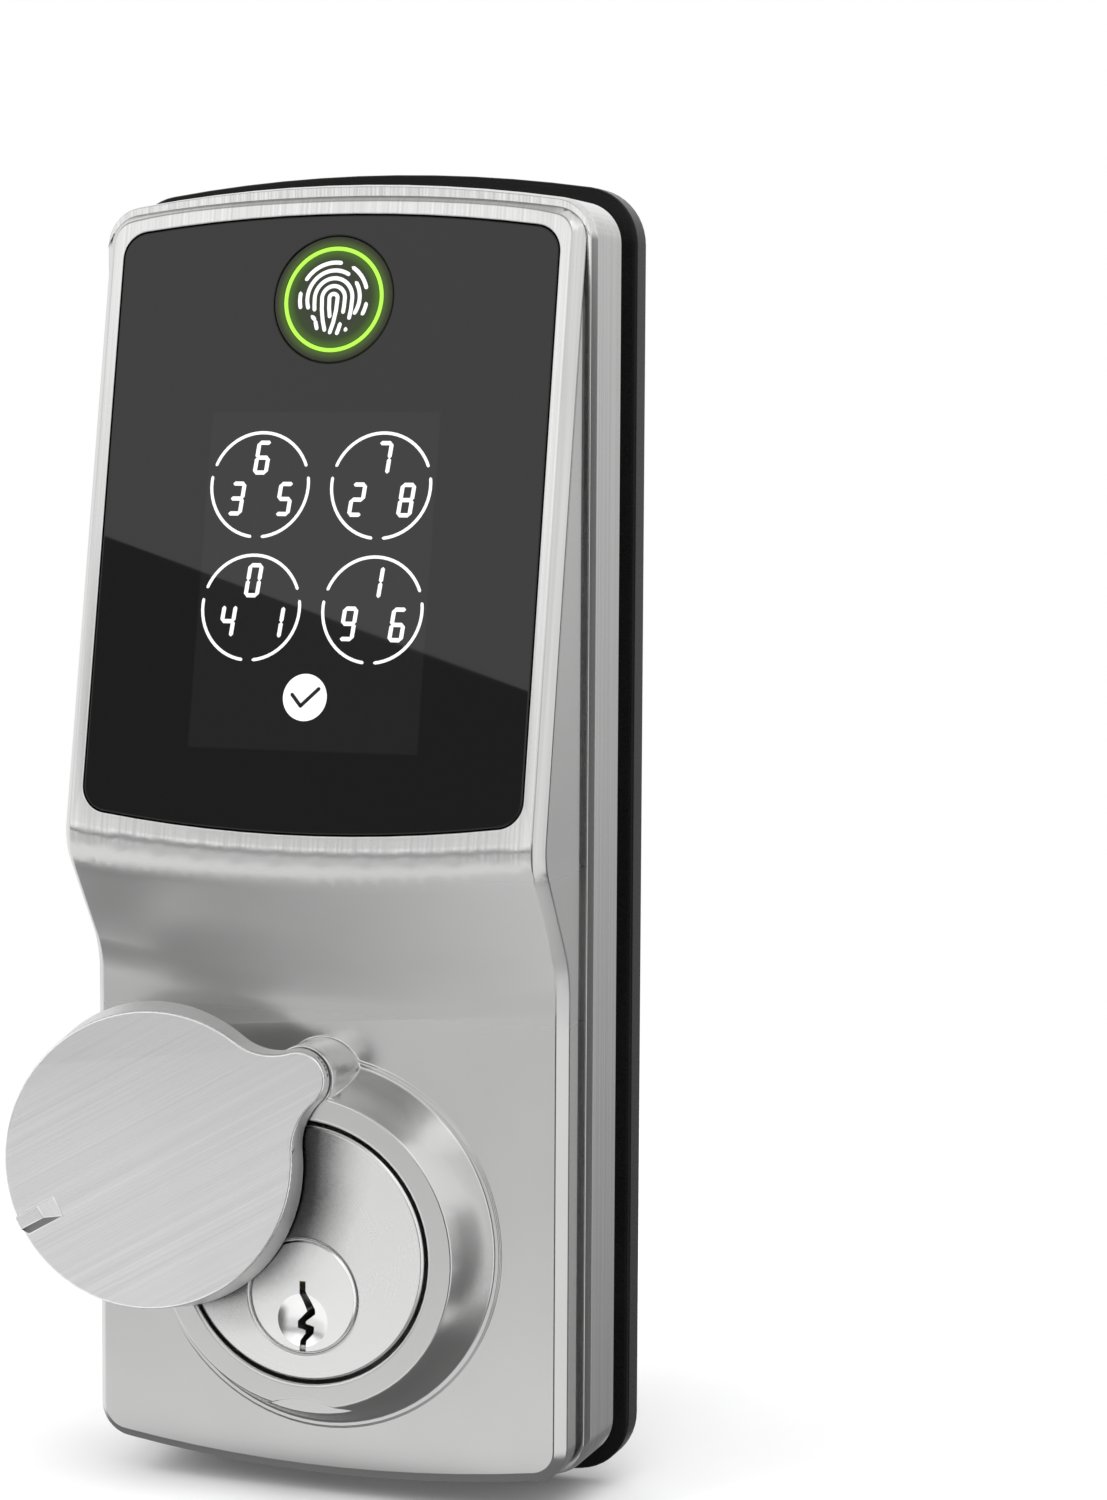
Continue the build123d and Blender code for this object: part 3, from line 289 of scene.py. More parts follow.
    def shaded(self, colour: Socket, shade: Shade) -> Socket:
        """Deepen a colour close to a part that stands over the face.

        Args:
            colour: Colour in the open.
            shade: How the colour deepens.

        Returns:
            The shaded colour.
        """
        inputs = {"Distance": shade.reach * MM, "Normal": self.vector(shade.way)}
        beside_all, beside_itself = (
            self.node(
                "ShaderNodeAmbientOcclusion", inputs, samples=shade.samples, only_local=local
            ).outputs["AO"]
            for local in (False, True)
        )
        own = self.maths("MAXIMUM", beside_itself, shade.least_open)
        beside_others = self.maths("DIVIDE", beside_all, own)
        level = self.span(beside_others, shade.openness, (shade.deepest, 1.0))
        limits = [(slack - shade.face_depth) * MM for slack in shade.face_slack]
        behind = self.span(self.axes(self.place())["Y"], limits, RISE)
        scale = self.maths("MAXIMUM", level, behind)
        inputs = {0: colour, "Scale": scale}
        return self.node("ShaderNodeVectorMath", inputs, operation="SCALE").outputs["Vector"]

    def relief(self, height: Socket, strength: float, depth: float) -> None:
        """Use a height as fine relief on the surface.

        Args:
            height: Height from 0 to 1.
            strength: Strength of the relief from 0 to 1.
            depth: Depth of the relief in millimetres.
        """
        inputs = {"Height": height, "Strength": strength, "Distance": depth * MM}
        bump = self.node("ShaderNodeBump", inputs)
        self.feed(self.shader.inputs["Normal"], bump.outputs["Normal"])


@dataclass(frozen=True)
class Finish:
    """Base of the finishes, each of which paints one material."""

    name: str

    def material(self) -> Material:
        """Build the material.

        Returns:
            The painted material.
        """
        sheet = Sheet(self.name)
        self.paint(sheet)
        return sheet.material

    def paint(self, sheet: Sheet) -> None:
        """Lay out the nodes, which each finish does in its own way."""
        raise NotImplementedError


@dataclass(frozen=True)
class Rounding:
    """Rounding of a piece's sharp edges.

    Args:
        width: Width of the rounding in millimetres.
        angle: Edges that bend by more than this many degrees are rounded.
        rows: Rows of faces across the rounding.
        sharp: Edges that bend by more than this many degrees stay sharp in the shading.
    """

    width: float
    angle: float = 40.0
    rows: int = 2
    sharp: float = 32.0


class Bench:
    """Modelling steps that all the pieces share."""

    MERGE_GAP = 0.002 * MM
    FLAT_ANGLE = math.radians(0.3)

    @staticmethod
    def fresh(add: Callable[..., Any], **settings: Any) -> Piece:
        """Add a primitive with nothing else selected.

        Args:
            add: Operator that adds it.
            settings: Size and place of the primitive.

        Returns:
            The new object.
        """
        bpy.ops.object.select_all(action="DESELECT")
        add(**settings)
        return bpy.context.object

    @staticmethod
    def pick(*pieces: Piece) -> None:
        """Select only some pieces and make the first one active.

        Args:
            pieces: Objects to select.
        """
        active = bpy.context.view_layer.objects.active
        if active is not None and active.mode != "OBJECT":
            bpy.ops.object.mode_set(mode="OBJECT")
        bpy.ops.object.select_all(action="DESELECT")
        for piece in pieces:
            piece.select_set(True)
        bpy.context.view_layer.objects.active = pieces[0]

    @staticmethod
    def edit_all(piece: Piece) -> None:
        """Open a piece in edit mode with everything selected.

        Args:
            piece: Mesh object to open.
        """
        Bench.pick(piece)
        bpy.ops.object.mode_set(mode="EDIT")
        bpy.ops.mesh.select_mode(type="VERT")
        bpy.ops.mesh.select_all(action="SELECT")

    @staticmethod
    def leave_edit() -> None:
        """Go back to object mode."""
        bpy.ops.object.mode_set(mode="OBJECT")

    @staticmethod
    def edit_edges(piece: Piece, test: Callable[[Vector, Vector], bool]) -> None:
        """Open a piece in edit mode with chosen edges selected.

        Args:
            piece: Mesh object to open.
            test: Takes an edge's two ends and says whether it is chosen.
        """
        Bench.pick(piece)
        mesh = piece.data
        for part in (*mesh.polygons, *mesh.vertices):
            part.select = False
        for edge in mesh.edges:
            start, end = (mesh.vertices[i].co for i in edge.vertices)
            edge.select = test(start, end)
        bpy.ops.object.mode_set(mode="EDIT")
        bpy.ops.mesh.select_mode(type="EDGE")

    @staticmethod
    def linked(name: str, mesh: bpy.types.Mesh) -> Piece:
        """Put a mesh into the scene as an object of its own.

        Args:
            name: Name of the object.
            mesh: Its mesh.

        Returns:
            The new object.
        """
        piece = bpy.data.objects.new(name, mesh)
        bpy.context.scene.collection.objects.link(piece)
        return piece

    @staticmethod
    def merged_copy(node: str, name: str) -> Piece:
        """Copy a CAD node as one clean, joined mesh.

        Args:
            node: Name of the CAD node.
            name: Name of the new piece.

        Returns:
            The new object, at the node's place.
        """
        piece = Bench.linked(name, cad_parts[node].data.copy())
        Bench.edit_all(piece)
        bpy.ops.mesh.remove_doubles(threshold=Bench.MERGE_GAP)
        bpy.ops.mesh.dissolve_limited(angle_limit=Bench.FLAT_ANGLE)
        Bench.leave_edit()
        return piece

    @staticmethod
    def soften(piece: Piece, rounding: Rounding) -> None:
        """Round a piece's sharp edges.

        Args:
            piece: Mesh object to finish.
            rounding: Which edges are rounded, and how.
        """
        Bench.pick(piece)
        bevel = piece.modifiers.new("edge", "BEVEL")
        bevel.width = rounding.width * MM
        bevel.segments = rounding.rows
        bevel.limit_method = "ANGLE"
        bevel.angle_limit = math.radians(rounding.angle)
        bevel.use_clamp_overlap = False
        bpy.ops.object.modifier_apply(modifier=bevel.name)

    @staticmethod
    def shade(piece: Piece, sharp: float) -> None:
        """Smooth a piece's shading and keep its broad faces flat.

        Args:
            piece: Mesh object to shade.
            sharp: Edges that bend by more than this many degrees stay sharp.
        """
        Bench.pick(piece)
        bpy.ops.object.shade_smooth_by_angle(angle=math.radians(sharp))
        normals = piece.modifiers.new("normals", "WEIGHTED_NORMAL")
        normals.keep_sharp = True
        bpy.ops.object.modifier_apply(modifier=normals.name)

    @staticmethod
    def joined(name: str, pieces: Sequence[Piece]) -> Piece:
        """Join pieces into one object.

        Args:
            name: Name of the joined piece.
            pieces: Objects to join.

        Returns:
            The joined object.
        """
        Bench.pick(*pieces)
        if len(pieces) > 1:
            bpy.ops.object.join()
        piece = bpy.context.view_layer.objects.active
        piece.name = name
        piece.data.name = name
        return piece

    @staticmethod
    def placed_copy(template: Piece, matrix: Matrix) -> Piece:
        """Copy a template with its own mesh, moved by a matrix.

        Args:
            template: Mesh object to copy.
            matrix: Where the copy goes.

        Returns:
            The copy, with its place in its mesh.
        """
        mesh = template.data.copy()
        mesh.transform(matrix)
        return Bench.linked(template.name, mesh)

    @staticmethod
    def drop(*templates: Piece) -> None:
        """Remove templates that aren't needed any more.

        Args:
            templates: Objects to remove, with their meshes.
        """
        for template in templates:
            mesh = template.data
            bpy.data.objects.remove(template)
            bpy.data.meshes.remove(mesh)

    @staticmethod
    def settle(
        piece: Piece, body: Body, slot: Slot, finish: Finish, *nodes: str
    ) -> None:
        """Dress a finished piece and hang it on its body.

        Args:
            piece: Finished object.
            body: Body that it moves with.
            slot: Slot of the record; not used.
            finish: Finish of the whole piece.
            nodes: CAD nodes that it stands for.
        """
        material = finish.material()
        piece.data.materials.clear()
        piece.data.materials.append(material)
        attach(piece, body.value)
        if nodes:
            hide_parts(*nodes)
        LOG.info("%s rides on %s with %s", piece.name, body.value, material.name)

    @staticmethod
    def dressed_copy(
        node: str, name: str, rounding: Rounding, body: Body, slot: Slot, finish: Finish
    ) -> Piece:
        """Replace a CAD node by a rounded, dressed copy of it.

        Args:
            node: Name of the CAD node.
            name: Name of the new piece.
            rounding: Rounding of its edges.
            body: Body that it moves with.
            slot: Slot of the record, handed on to settle.
            finish: Finish of the whole piece.

        Returns:
            The new object.
        """
        piece = Bench.merged_copy(node, name)
        Bench.soften(piece, rounding)
        Bench.shade(piece, rounding.sharp)
        Bench.settle(piece, body, slot, finish, node)
        return piece


@dataclass(frozen=True)
class BrushedMetal(Finish):
    """Satin metal with fine brush lines along its turned Z axis, in millimetres.

    Beyond its ends the lines turn across, below brushed_from they fade out, and between the
    blurred heights the metal is rougher.
    """

    colour: Colour
    roughness: float
    lines: float = 1.0
    line_width: float = 0.22
    line_length: float = 30.0
    turn: float = 0.0
    line_depth: Optional[float] = None
    relief: float = 0.06
    ends: Optional[Point] = None
    brushed_from: Optional[Point] = None
    blurred: Optional[tuple[Point, float]] = None
    tones: Point = (0.86, 1.12)
    roughness_spread: float = 0.04
    line_range: Point = (0.25, 0.75)
    line_detail: float = 0.5
    fine_share: float = 0.65
    broad_share: float = 0.35
    broad_scale: Point = (3.4, 2.2)
    cloud_scale: float = 70.0
    cloud_share: float = 0.15
    end_blend: float = 0.5
    blur_edge: Point = (0.6, 1.2)
    relief_depth: float = 0.01

    def brush(self, sheet: Sheet, width: float, length: float) -> Socket:
        """Streaks from 0 to 1.

        Args:
            sheet: Sheet to add to.
            width: Width of a streak in millimetres.
            length: Length of a streak in millimetres.

        Returns:
            The streaks.
        """
        depth = width if self.line_depth is None else self.line_depth
        grain = (width * MM, depth * MM, length * MM)
        turn = (0.0, self.turn, 0.0)
        lines = sheet.noise(sheet.place(grain, turn), detail=self.line_detail)
        if self.ends is None:
            return lines
        low, high = self.ends
        grain = (width * MM, length * MM, length * MM)
        across = sheet.noise(sheet.place(grain), detail=self.line_detail)
        away = sheet.away(sheet.axes(sheet.place())["Z"], (low + high) / 2 * MM)
        edge = around((high - low) / 2 * MM, self.end_blend * MM)
        share = sheet.span(away, edge, RISE)
        change = sheet.maths("MULTIPLY", share, sheet.maths("SUBTRACT", across, lines))
        return sheet.maths("ADD", lines, change)

    def paint(self, sheet: Sheet) -> None:
        """Lay out the nodes.

        Args:
            sheet: Sheet of the material.
        """
        wider, longer = self.broad_scale
        fine = self.brush(sheet, self.line_width, self.line_length)
        broad = self.brush(sheet, self.line_width * wider, self.line_length * longer)
        lines = sheet.maths(
            "ADD",
            sheet.span(fine, self.line_range, around(0.0, self.fine_share * self.lines)),
            sheet.span(broad, self.line_range, around(0.0, self.broad_share * self.lines)),
        )
        height = sheet.axes(sheet.place())["Z"]
        if self.brushed_from is not None:
            limits = [limit * MM for limit in self.brushed_from]
            lines = sheet.maths("MULTIPLY", lines, sheet.span(height, limits, RISE, True))
        cloud = sheet.noise(sheet.place(), scale=self.cloud_scale, detail=3.0)
        mottle = sheet.span(cloud, NOISE, around(0.0, self.cloud_share))
        level = sheet.span(sheet.maths("ADD", lines, mottle), around(0.0, 1.0), RISE)
        rough = sheet.span(level, RISE, around(self.roughness, self.roughness_spread)[::-1])
        if self.blurred is not None:
            (low, high), extra = self.blurred
            away = sheet.away(height, (low + high) / 2 * MM)
            edge = [share * (high - low) / 2 * MM for share in self.blur_edge]
            rough = sheet.maths("ADD", rough, sheet.span(away, edge, (extra, 0.0), True))
        colour = sheet.tint(level, RISE, [toned(self.colour, tone) for tone in self.tones])
        sheet.surface(Base_Color=colour, Metallic=1.0, Roughness=rough)
        sheet.relief(lines, self.relief, self.relief_depth)


@dataclass(frozen=True)
class TurnedMetal(Finish):
    """Metal with fine rings from turning about an axis along Y, in millimetres."""

    colour: Colour
    roughness: float
    centre: Point = (0.0, 0.0)
    shaded: Optional[Shade] = None
    ring: float = 0.25
    tones: Point = (0.99, 1.008)
    tone_range: Point = (0.2, 0.8)
    roughness_spread: float = 0.015
    cloud_scale: float = 200.0
    cloud_share: float = 0.15
    relief: float = 0.003
    relief_depth: float = 0.01

    def paint(self, sheet: Sheet) -> None:
        """Lay out the nodes.

        Args:
            sheet: Sheet of the material.
        """
        x, z = self.centre
        parts = sheet.axes(sheet.place(centre=(x * MM, 0.0, z * MM)))
        radius = sheet.length(parts["X"], parts["Z"])
        turns = sheet.maths("MULTIPLY", radius, 1.0 / (self.ring * MM))
        rings = sheet.noise(sheet.vector((turns, 0.0, 0.0)))
        cloud = sheet.noise(sheet.place(), scale=self.cloud_scale, detail=3.0)
        mottle = sheet.span(cloud, NOISE, around(0.0, self.cloud_share))
        level = sheet.maths("ADD", rings, mottle)
        colours = [toned(self.colour, tone) for tone in self.tones]
        colour = sheet.tint(level, self.tone_range, colours)
        if self.shaded is not None:
            colour = sheet.shaded(colour, self.shaded)
        rough = around(self.roughness, self.roughness_spread)[::-1]
        sheet.surface(
            Base_Color=colour, Metallic=1.0, Roughness=sheet.span(level, self.tone_range, rough)
        )
        sheet.relief(rings, self.relief, self.relief_depth)


@dataclass(frozen=True)
class ZincPlate(Finish):
    """Zinc-plated steel with a faint crystal pattern, in millimetres."""

    colour: Colour
    roughness: float
    crystal: float = 2.5
    crystal_share: float = 0.4
    cloud_scale: float = 150.0
    dark: float = 0.82
    tone_range: Point = (0.3, 0.95)
    roughness_range: Point = (0.3, 1.0)
    roughness_spread: float = 0.06
    relief: float = 0.1
    relief_depth: float = 0.02

    def paint(self, sheet: Sheet) -> None:
        """Lay out the nodes.

        Args:
            sheet: Sheet of the material.
        """
        inputs = {"Vector": sheet.place(), "Scale": 1.0 / (self.crystal * MM)}
        cells = sheet.axes(sheet.node("ShaderNodeTexVoronoi", inputs).outputs["Color"])
        cloud = sheet.noise(sheet.place(), scale=self.cloud_scale, detail=4.0)
        crystals = sheet.maths("MULTIPLY", cells["X"], self.crystal_share)
        level = sheet.maths("ADD", crystals, cloud)
        colours = (toned(self.colour, self.dark), self.colour)
        rough = around(self.roughness, self.roughness_spread)[::-1]
        sheet.surface(
            Base_Color=sheet.tint(level, self.tone_range, colours),
            Metallic=1.0,
            Roughness=sheet.span(level, self.roughness_range, rough),
        )
        sheet.relief(cloud, self.relief, self.relief_depth)


@dataclass(frozen=True)
class MouldedPlastic(Finish):
    """Moulded plastic, rubber or foam with a fine surface grain, in millimetres."""

    colour: Colour
    roughness: float
    grain: float = 0.25
    relief: float = 0.2
    gloss: float = 0.5
    tones: Point = (0.8, 1.2)
    roughness_spread: float = 0.05
    cloud_scale: float = 120.0
    relief_depth: float = 0.03

    def paint(self, sheet: Sheet) -> None:
        """Lay out the nodes.

        Args:
            sheet: Sheet of the material.
        """
        grain = sheet.noise(sheet.place(), scale=1.0 / (self.grain * MM), detail=3.0)
        cloud = sheet.noise(sheet.place(), scale=self.cloud_scale)
        colours = [toned(self.colour, tone) for tone in self.tones]
        rough = around(self.roughness, self.roughness_spread)
        sheet.surface(
            Base_Color=sheet.tint(cloud, NOISE, colours),
            Roughness=sheet.span(grain, NOISE, rough),
            Specular_IOR_Level=self.gloss,
        )
        sheet.relief(grain, self.relief, self.relief_depth)


@dataclass(frozen=True)
class CircuitBoard(Finish):
    """Solder mask over copper tracks, in millimetres."""

    colour: Colour
    roughness: float = 0.42
    cell: float = 5.2
    track_share: float = 0.03
    copper: float = 2.2
    relief: float = 0.3
    relief_depth: float = 0.03

    def paint(self, sheet: Sheet) -> None:
        """Lay out the nodes.

        Args:
            sheet: Sheet of the material.
        """
        inputs = {
            "Vector": sheet.place(turn=(90.0, 0.0, 0.0)),
            "Scale": 1.0 / (self.cell * MM),
            "Mortar Size": self.track_share,
        }
        tracks = sheet.node("ShaderNodeTexBrick", inputs).outputs["Fac"]
        colours = (self.colour, toned(self.colour, self.copper))
        sheet.surface(
            Base_Color=sheet.tint(tracks, RISE, colours), Roughness=self.roughness
        )
        sheet.relief(tracks, self.relief, self.relief_depth)


@dataclass(frozen=True)
class FlatCable(Finish):
    """Amber film with copper conductors along its length, in millimetres."""

    colour: Colour
    roughness: float = 0.35
    pitch: float = 0.8
    dark: float = 0.5
    tone_range: Point = (0.35, 0.65)
    relief: float = 0.2
    relief_depth: float = 0.03

    def paint(self, sheet: Sheet) -> None:
        """Lay out the nodes.

        Args:
            sheet: Sheet of the material.
        """
        inputs = {"Vector": sheet.place(), "Scale": WAVE_LENGTH / (self.pitch * MM)}
        wires = sheet.node(
            "ShaderNodeTexWave", inputs, wave_type="BANDS", bands_direction="X"
        ).outputs["Fac"]
        colours = (toned(self.colour, self.dark), self.colour)
        sheet.surface(
            Base_Color=sheet.tint(wires, self.tone_range, colours),
            Roughness=self.roughness,
        )
        sheet.relief(wires, self.relief, self.relief_depth)


@dataclass(frozen=True)
class PanelPlane:
    """Tilted plane of the glass and the bezel, in millimetres."""

    crest_depth: float = 27.8584
    crest_height: float = 48.5
    slope: float = 0.182

    def matrix(self, across: float, height: float) -> Matrix:
        """Place of a point on the plane.

        Args:
            across: Distance to the right in millimetres.
            height: Height of the point in millimetres.

        Returns:
            Matrix from metres on the plane, with its own Z outwards, to the world.
        """
        tilt = math.atan(self.slope)
        sine, cosine = math.sin(tilt), math.cos(tilt)
        climb = (height - self.crest_height) * math.hypot(1.0, self.slope)
        origin = Vector((across, -self.crest_depth, self.crest_height))
        origin += climb * Vector((0.0, sine, cosine))
        return Matrix((
            (1.0, 0.0, 0.0, origin.x * MM),
            (0.0, sine, -cosine, origin.y * MM),
            (0.0, cosine, sine, origin.z * MM),
            (0.0, 0.0, 0.0, 1.0),
        ))


PANEL = PanelPlane()


@dataclass(frozen=True)
class DarkGlass(Finish):
    """Black glass with the faint field of the display behind it, in millimetres."""

    colour: Colour
    field: Colour
    half_width: float = 13.9
    low: float = 62.0
    high: float = 99.7
    edge: float = 0.12
    smear_scale: float = 45.0
    smear_range: Point = (0.35, 0.75)
    roughness: Point = (0.008, 0.02)
    ior: float = 1.47

    def paint(self, sheet: Sheet) -> None:
        """Lay out the nodes.

        Args:
            sheet: Sheet of the material.
        """
        parts = sheet.axes(sheet.place())

        def limit(part: Socket, place: float, result: Point) -> Socket:
            """Soft limit of the field at a place in millimetres."""
            return sheet.span(part, around(place * MM, self.edge * MM), result)

        wide = limit(sheet.maths("ABSOLUTE", parts["X"]), self.half_width, FALL)
        above = limit(parts["Z"], self.low, RISE)
        below = limit(parts["Z"], self.high, FALL)
        inside = sheet.maths("MULTIPLY", wide, sheet.maths("MULTIPLY", above, below))
        smear = sheet.noise(sheet.place(), scale=self.smear_scale, detail=4.0)
        sheet.surface(
            Base_Color=sheet.tint(inside, RISE, (self.colour, self.field)),
            Roughness=sheet.span(smear, self.smear_range, self.roughness),
            IOR=self.ior,
        )


@dataclass(frozen=True)
class SensorFace(Finish):
    """Dark sensor face that glows green round its light ring, in millimetres."""

    height: float
    strength: float
    reach: float = 7.4
    glow: tuple[tuple[float, tuple[int, int, int]], ...] = (
        (0.0, (46, 48, 40)), (0.45, (44, 50, 32)), (0.62, (40, 62, 14)), (0.74, (70, 110, 16)),
        (0.86, (66, 92, 20)), (0.93, (40, 50, 22)), (1.0, (22, 24, 18)),
    )
    colour: Colour = screen_colour(24, 25, 22)
    roughness: Point = (0.2, 0.3)
    gloss: float = 0.25
    grain_scale: float = 2500.0
    relief: float = 0.05
    relief_depth: float = 0.01

    def paint(self, sheet: Sheet) -> None:
        """Lay out the nodes.

        Args:
            sheet: Sheet of the material.
        """
        inputs = {0: sheet.place(), 1: tuple(PANEL.matrix(0.0, self.height).translation)}
        away = sheet.node("ShaderNodeVectorMath", inputs, operation="DISTANCE").outputs["Value"]
        share = sheet.span(away, (0.0, self.reach * MM), RISE)
        places, values = zip(*self.glow)
        light = sheet.tint(share, places, [screen_colour(*value) for value in values])
        grain = sheet.noise(sheet.place(), scale=self.grain_scale)
        sheet.surface(
            Base_Color=self.colour,
            Roughness=sheet.span(grain, NOISE, self.roughness),
            Specular_IOR_Level=self.gloss,
            Emission_Color=light,
            Emission_Strength=self.strength,
        )
        sheet.relief(grain, self.relief, self.relief_depth)


@dataclass(frozen=True)
class LitPrint(Finish):
    """Print or light guide that is lit from behind."""

    colour: Colour
    light: Colour
    strength: float
    dim: float = 0.94
    roughness: float = 0.25
    cloud_scale: float = 700.0

    def paint(self, sheet: Sheet) -> None:
        """Lay out the nodes.

        Args:
            sheet: Sheet of the material.
        """
        cloud = sheet.noise(sheet.place(), scale=self.cloud_scale)
        colours = (toned(self.light, self.dim), self.light)
        sheet.surface(
            Base_Color=self.colour,
            Roughness=self.roughness,
            Emission_Color=sheet.tint(cloud, NOISE, colours),
            Emission_Strength=self.strength,
        )


def upright(start: Vector, end: Vector) -> bool:
    """True for an edge across a flat stroke's thickness."""
    return (start - end).to_2d().length < SAME


@dataclass
class Strokes:
    """Flat strokes that prints are drawn with, on the plane's own X and Y, in millimetres."""

    width: float = 0.36
    thickness: float = 0.04
    cap_rows: int = 4
    cap_share: float = 0.49
    spin_step: float = 6.0

    def path(self, start: Point, heading: float, runs: Sequence[Point]) -> Piece:
        """Stroke along arcs that follow each other smoothly.

        Args:
            start: First end of the middle line in millimetres.
            heading: Direction of the first end in degrees.
            runs: Radius and turn of each arc, anticlockwise when positive.

        Returns:
            The stroke, with rounded ends.
        """
        angle = math.radians(heading)
        spot = Vector((*start, 0.0))
        piece = Bench.fresh(
            bpy.ops.mesh.primitive_plane_add,
            size=1.0, location=spot * MM, rotation=(math.pi / 2, 0.0, angle - math.pi / 2),
        )
        piece.scale = (self.width * MM, self.thickness * MM, 1.0)
        bpy.ops.object.transform_apply(location=True, rotation=True, scale=True)
        Bench.edit_all(piece)
        for radius, turn in runs:
            reach = math.copysign(radius, turn)
            centre = spot + reach * Vector((-math.sin(angle), math.cos(angle), 0.0))
            self.spin(centre * MM, turn)
            angle += math.radians(turn)
            spot = centre - reach * Vector((-math.sin(angle), math.cos(angle), 0.0))
        bpy.ops.mesh.select_all(action="SELECT")
        bpy.ops.mesh.remove_doubles(threshold=0.001 * MM)
        bpy.ops.mesh.normals_make_consistent(inside=False)
        Bench.leave_edit()
        self.round_caps(piece)
        return piece

    def arc(self, radius: float, start: float, sweep: float, height: float = 0.0) -> Piece:
        """Arc about a point on the Y axis.

        Args:
            radius: Radius of the middle line in millimetres.
            start: Angle of the first end in degrees.
            sweep: Angle swept in degrees, anticlockwise when positive.
            height: Place of the centre on the Y axis.

        Returns:
            The stroke, with rounded ends.
        """
        angle = math.radians(start)
        spot = (radius * math.cos(angle), height + radius * math.sin(angle))
        return self.path(spot, start + math.copysign(90.0, sweep), ((radius, sweep),))

    def spin(self, centre: Vector, sweep: float) -> None:
        """Sweep the selected end about a centre by an angle in degrees."""
        steps = max(2, int(abs(sweep) / self.spin_step))
        bpy.ops.mesh.spin(
            steps=steps, angle=-math.radians(sweep), center=centre, axis=(0.0, 0.0, 1.0)
        )

    def round_caps(self, piece: Piece) -> None:
        """Round the two ends of a swept stroke.

        Args:
            piece: Stroke to finish.
        """
        mesh = piece.data
        neighbours = [0] * len(mesh.vertices)
        for edge in mesh.edges:
            for index in edge.vertices:
                neighbours[index] += 1

        def key(spot: Vector) -> tuple[float, ...]:
            """Rounded place that tells vertices apart."""
            return tuple(round(part, 7) for part in spot)

        # Inside the stroke a vertex has four edges, at its ends three
        ends = {key(mesh.vertices[i].co) for i, count in enumerate(neighbours) if count == 3}

        def upright_end(start: Vector, end: Vector) -> bool:
            """True for an end edge across the stroke's thickness."""
            return upright(start, end) and key(start) in ends

        Bench.edit_edges(piece, upright_end)
        bpy.ops.mesh.bevel(
            offset=self.width * self.cap_share * MM, segments=self.cap_rows, affect="EDGES"
        )
        Bench.leave_edit()

    def bar(self, length: float, taper: float, rows: int) -> Piece:
        """Straight stroke along X with shaped ends.

        Args:
            length: Length in millimetres.
            taper: How much of the width each end corner loses.
            rows: Rows of faces across each end corner.

        Returns:
            The stroke, centred on the origin.
        """
        piece = Bench.fresh(bpy.ops.mesh.primitive_cube_add, size=1.0)
        piece.scale = (length * MM, self.width * MM, self.thickness * MM)
        bpy.ops.object.transform_apply(location=False, rotation=False, scale=True)
        Bench.edit_edges(piece, upright)
        bpy.ops.mesh.bevel(offset=self.width * taper * MM, segments=rows, affect="EDGES")
        Bench.leave_edit()
        return piece


# Strokes of each digit: a at the top, then clockwise to f, with g across the middle
SEGMENTS = {
    "0": "abcdef", "1": "bc", "2": "abged", "3": "abgcd", "4": "fgbc",
    "5": "afgcd", "6": "afgedc", "7": "abc", "8": "abcdefg", "9": "abcdfg",
}


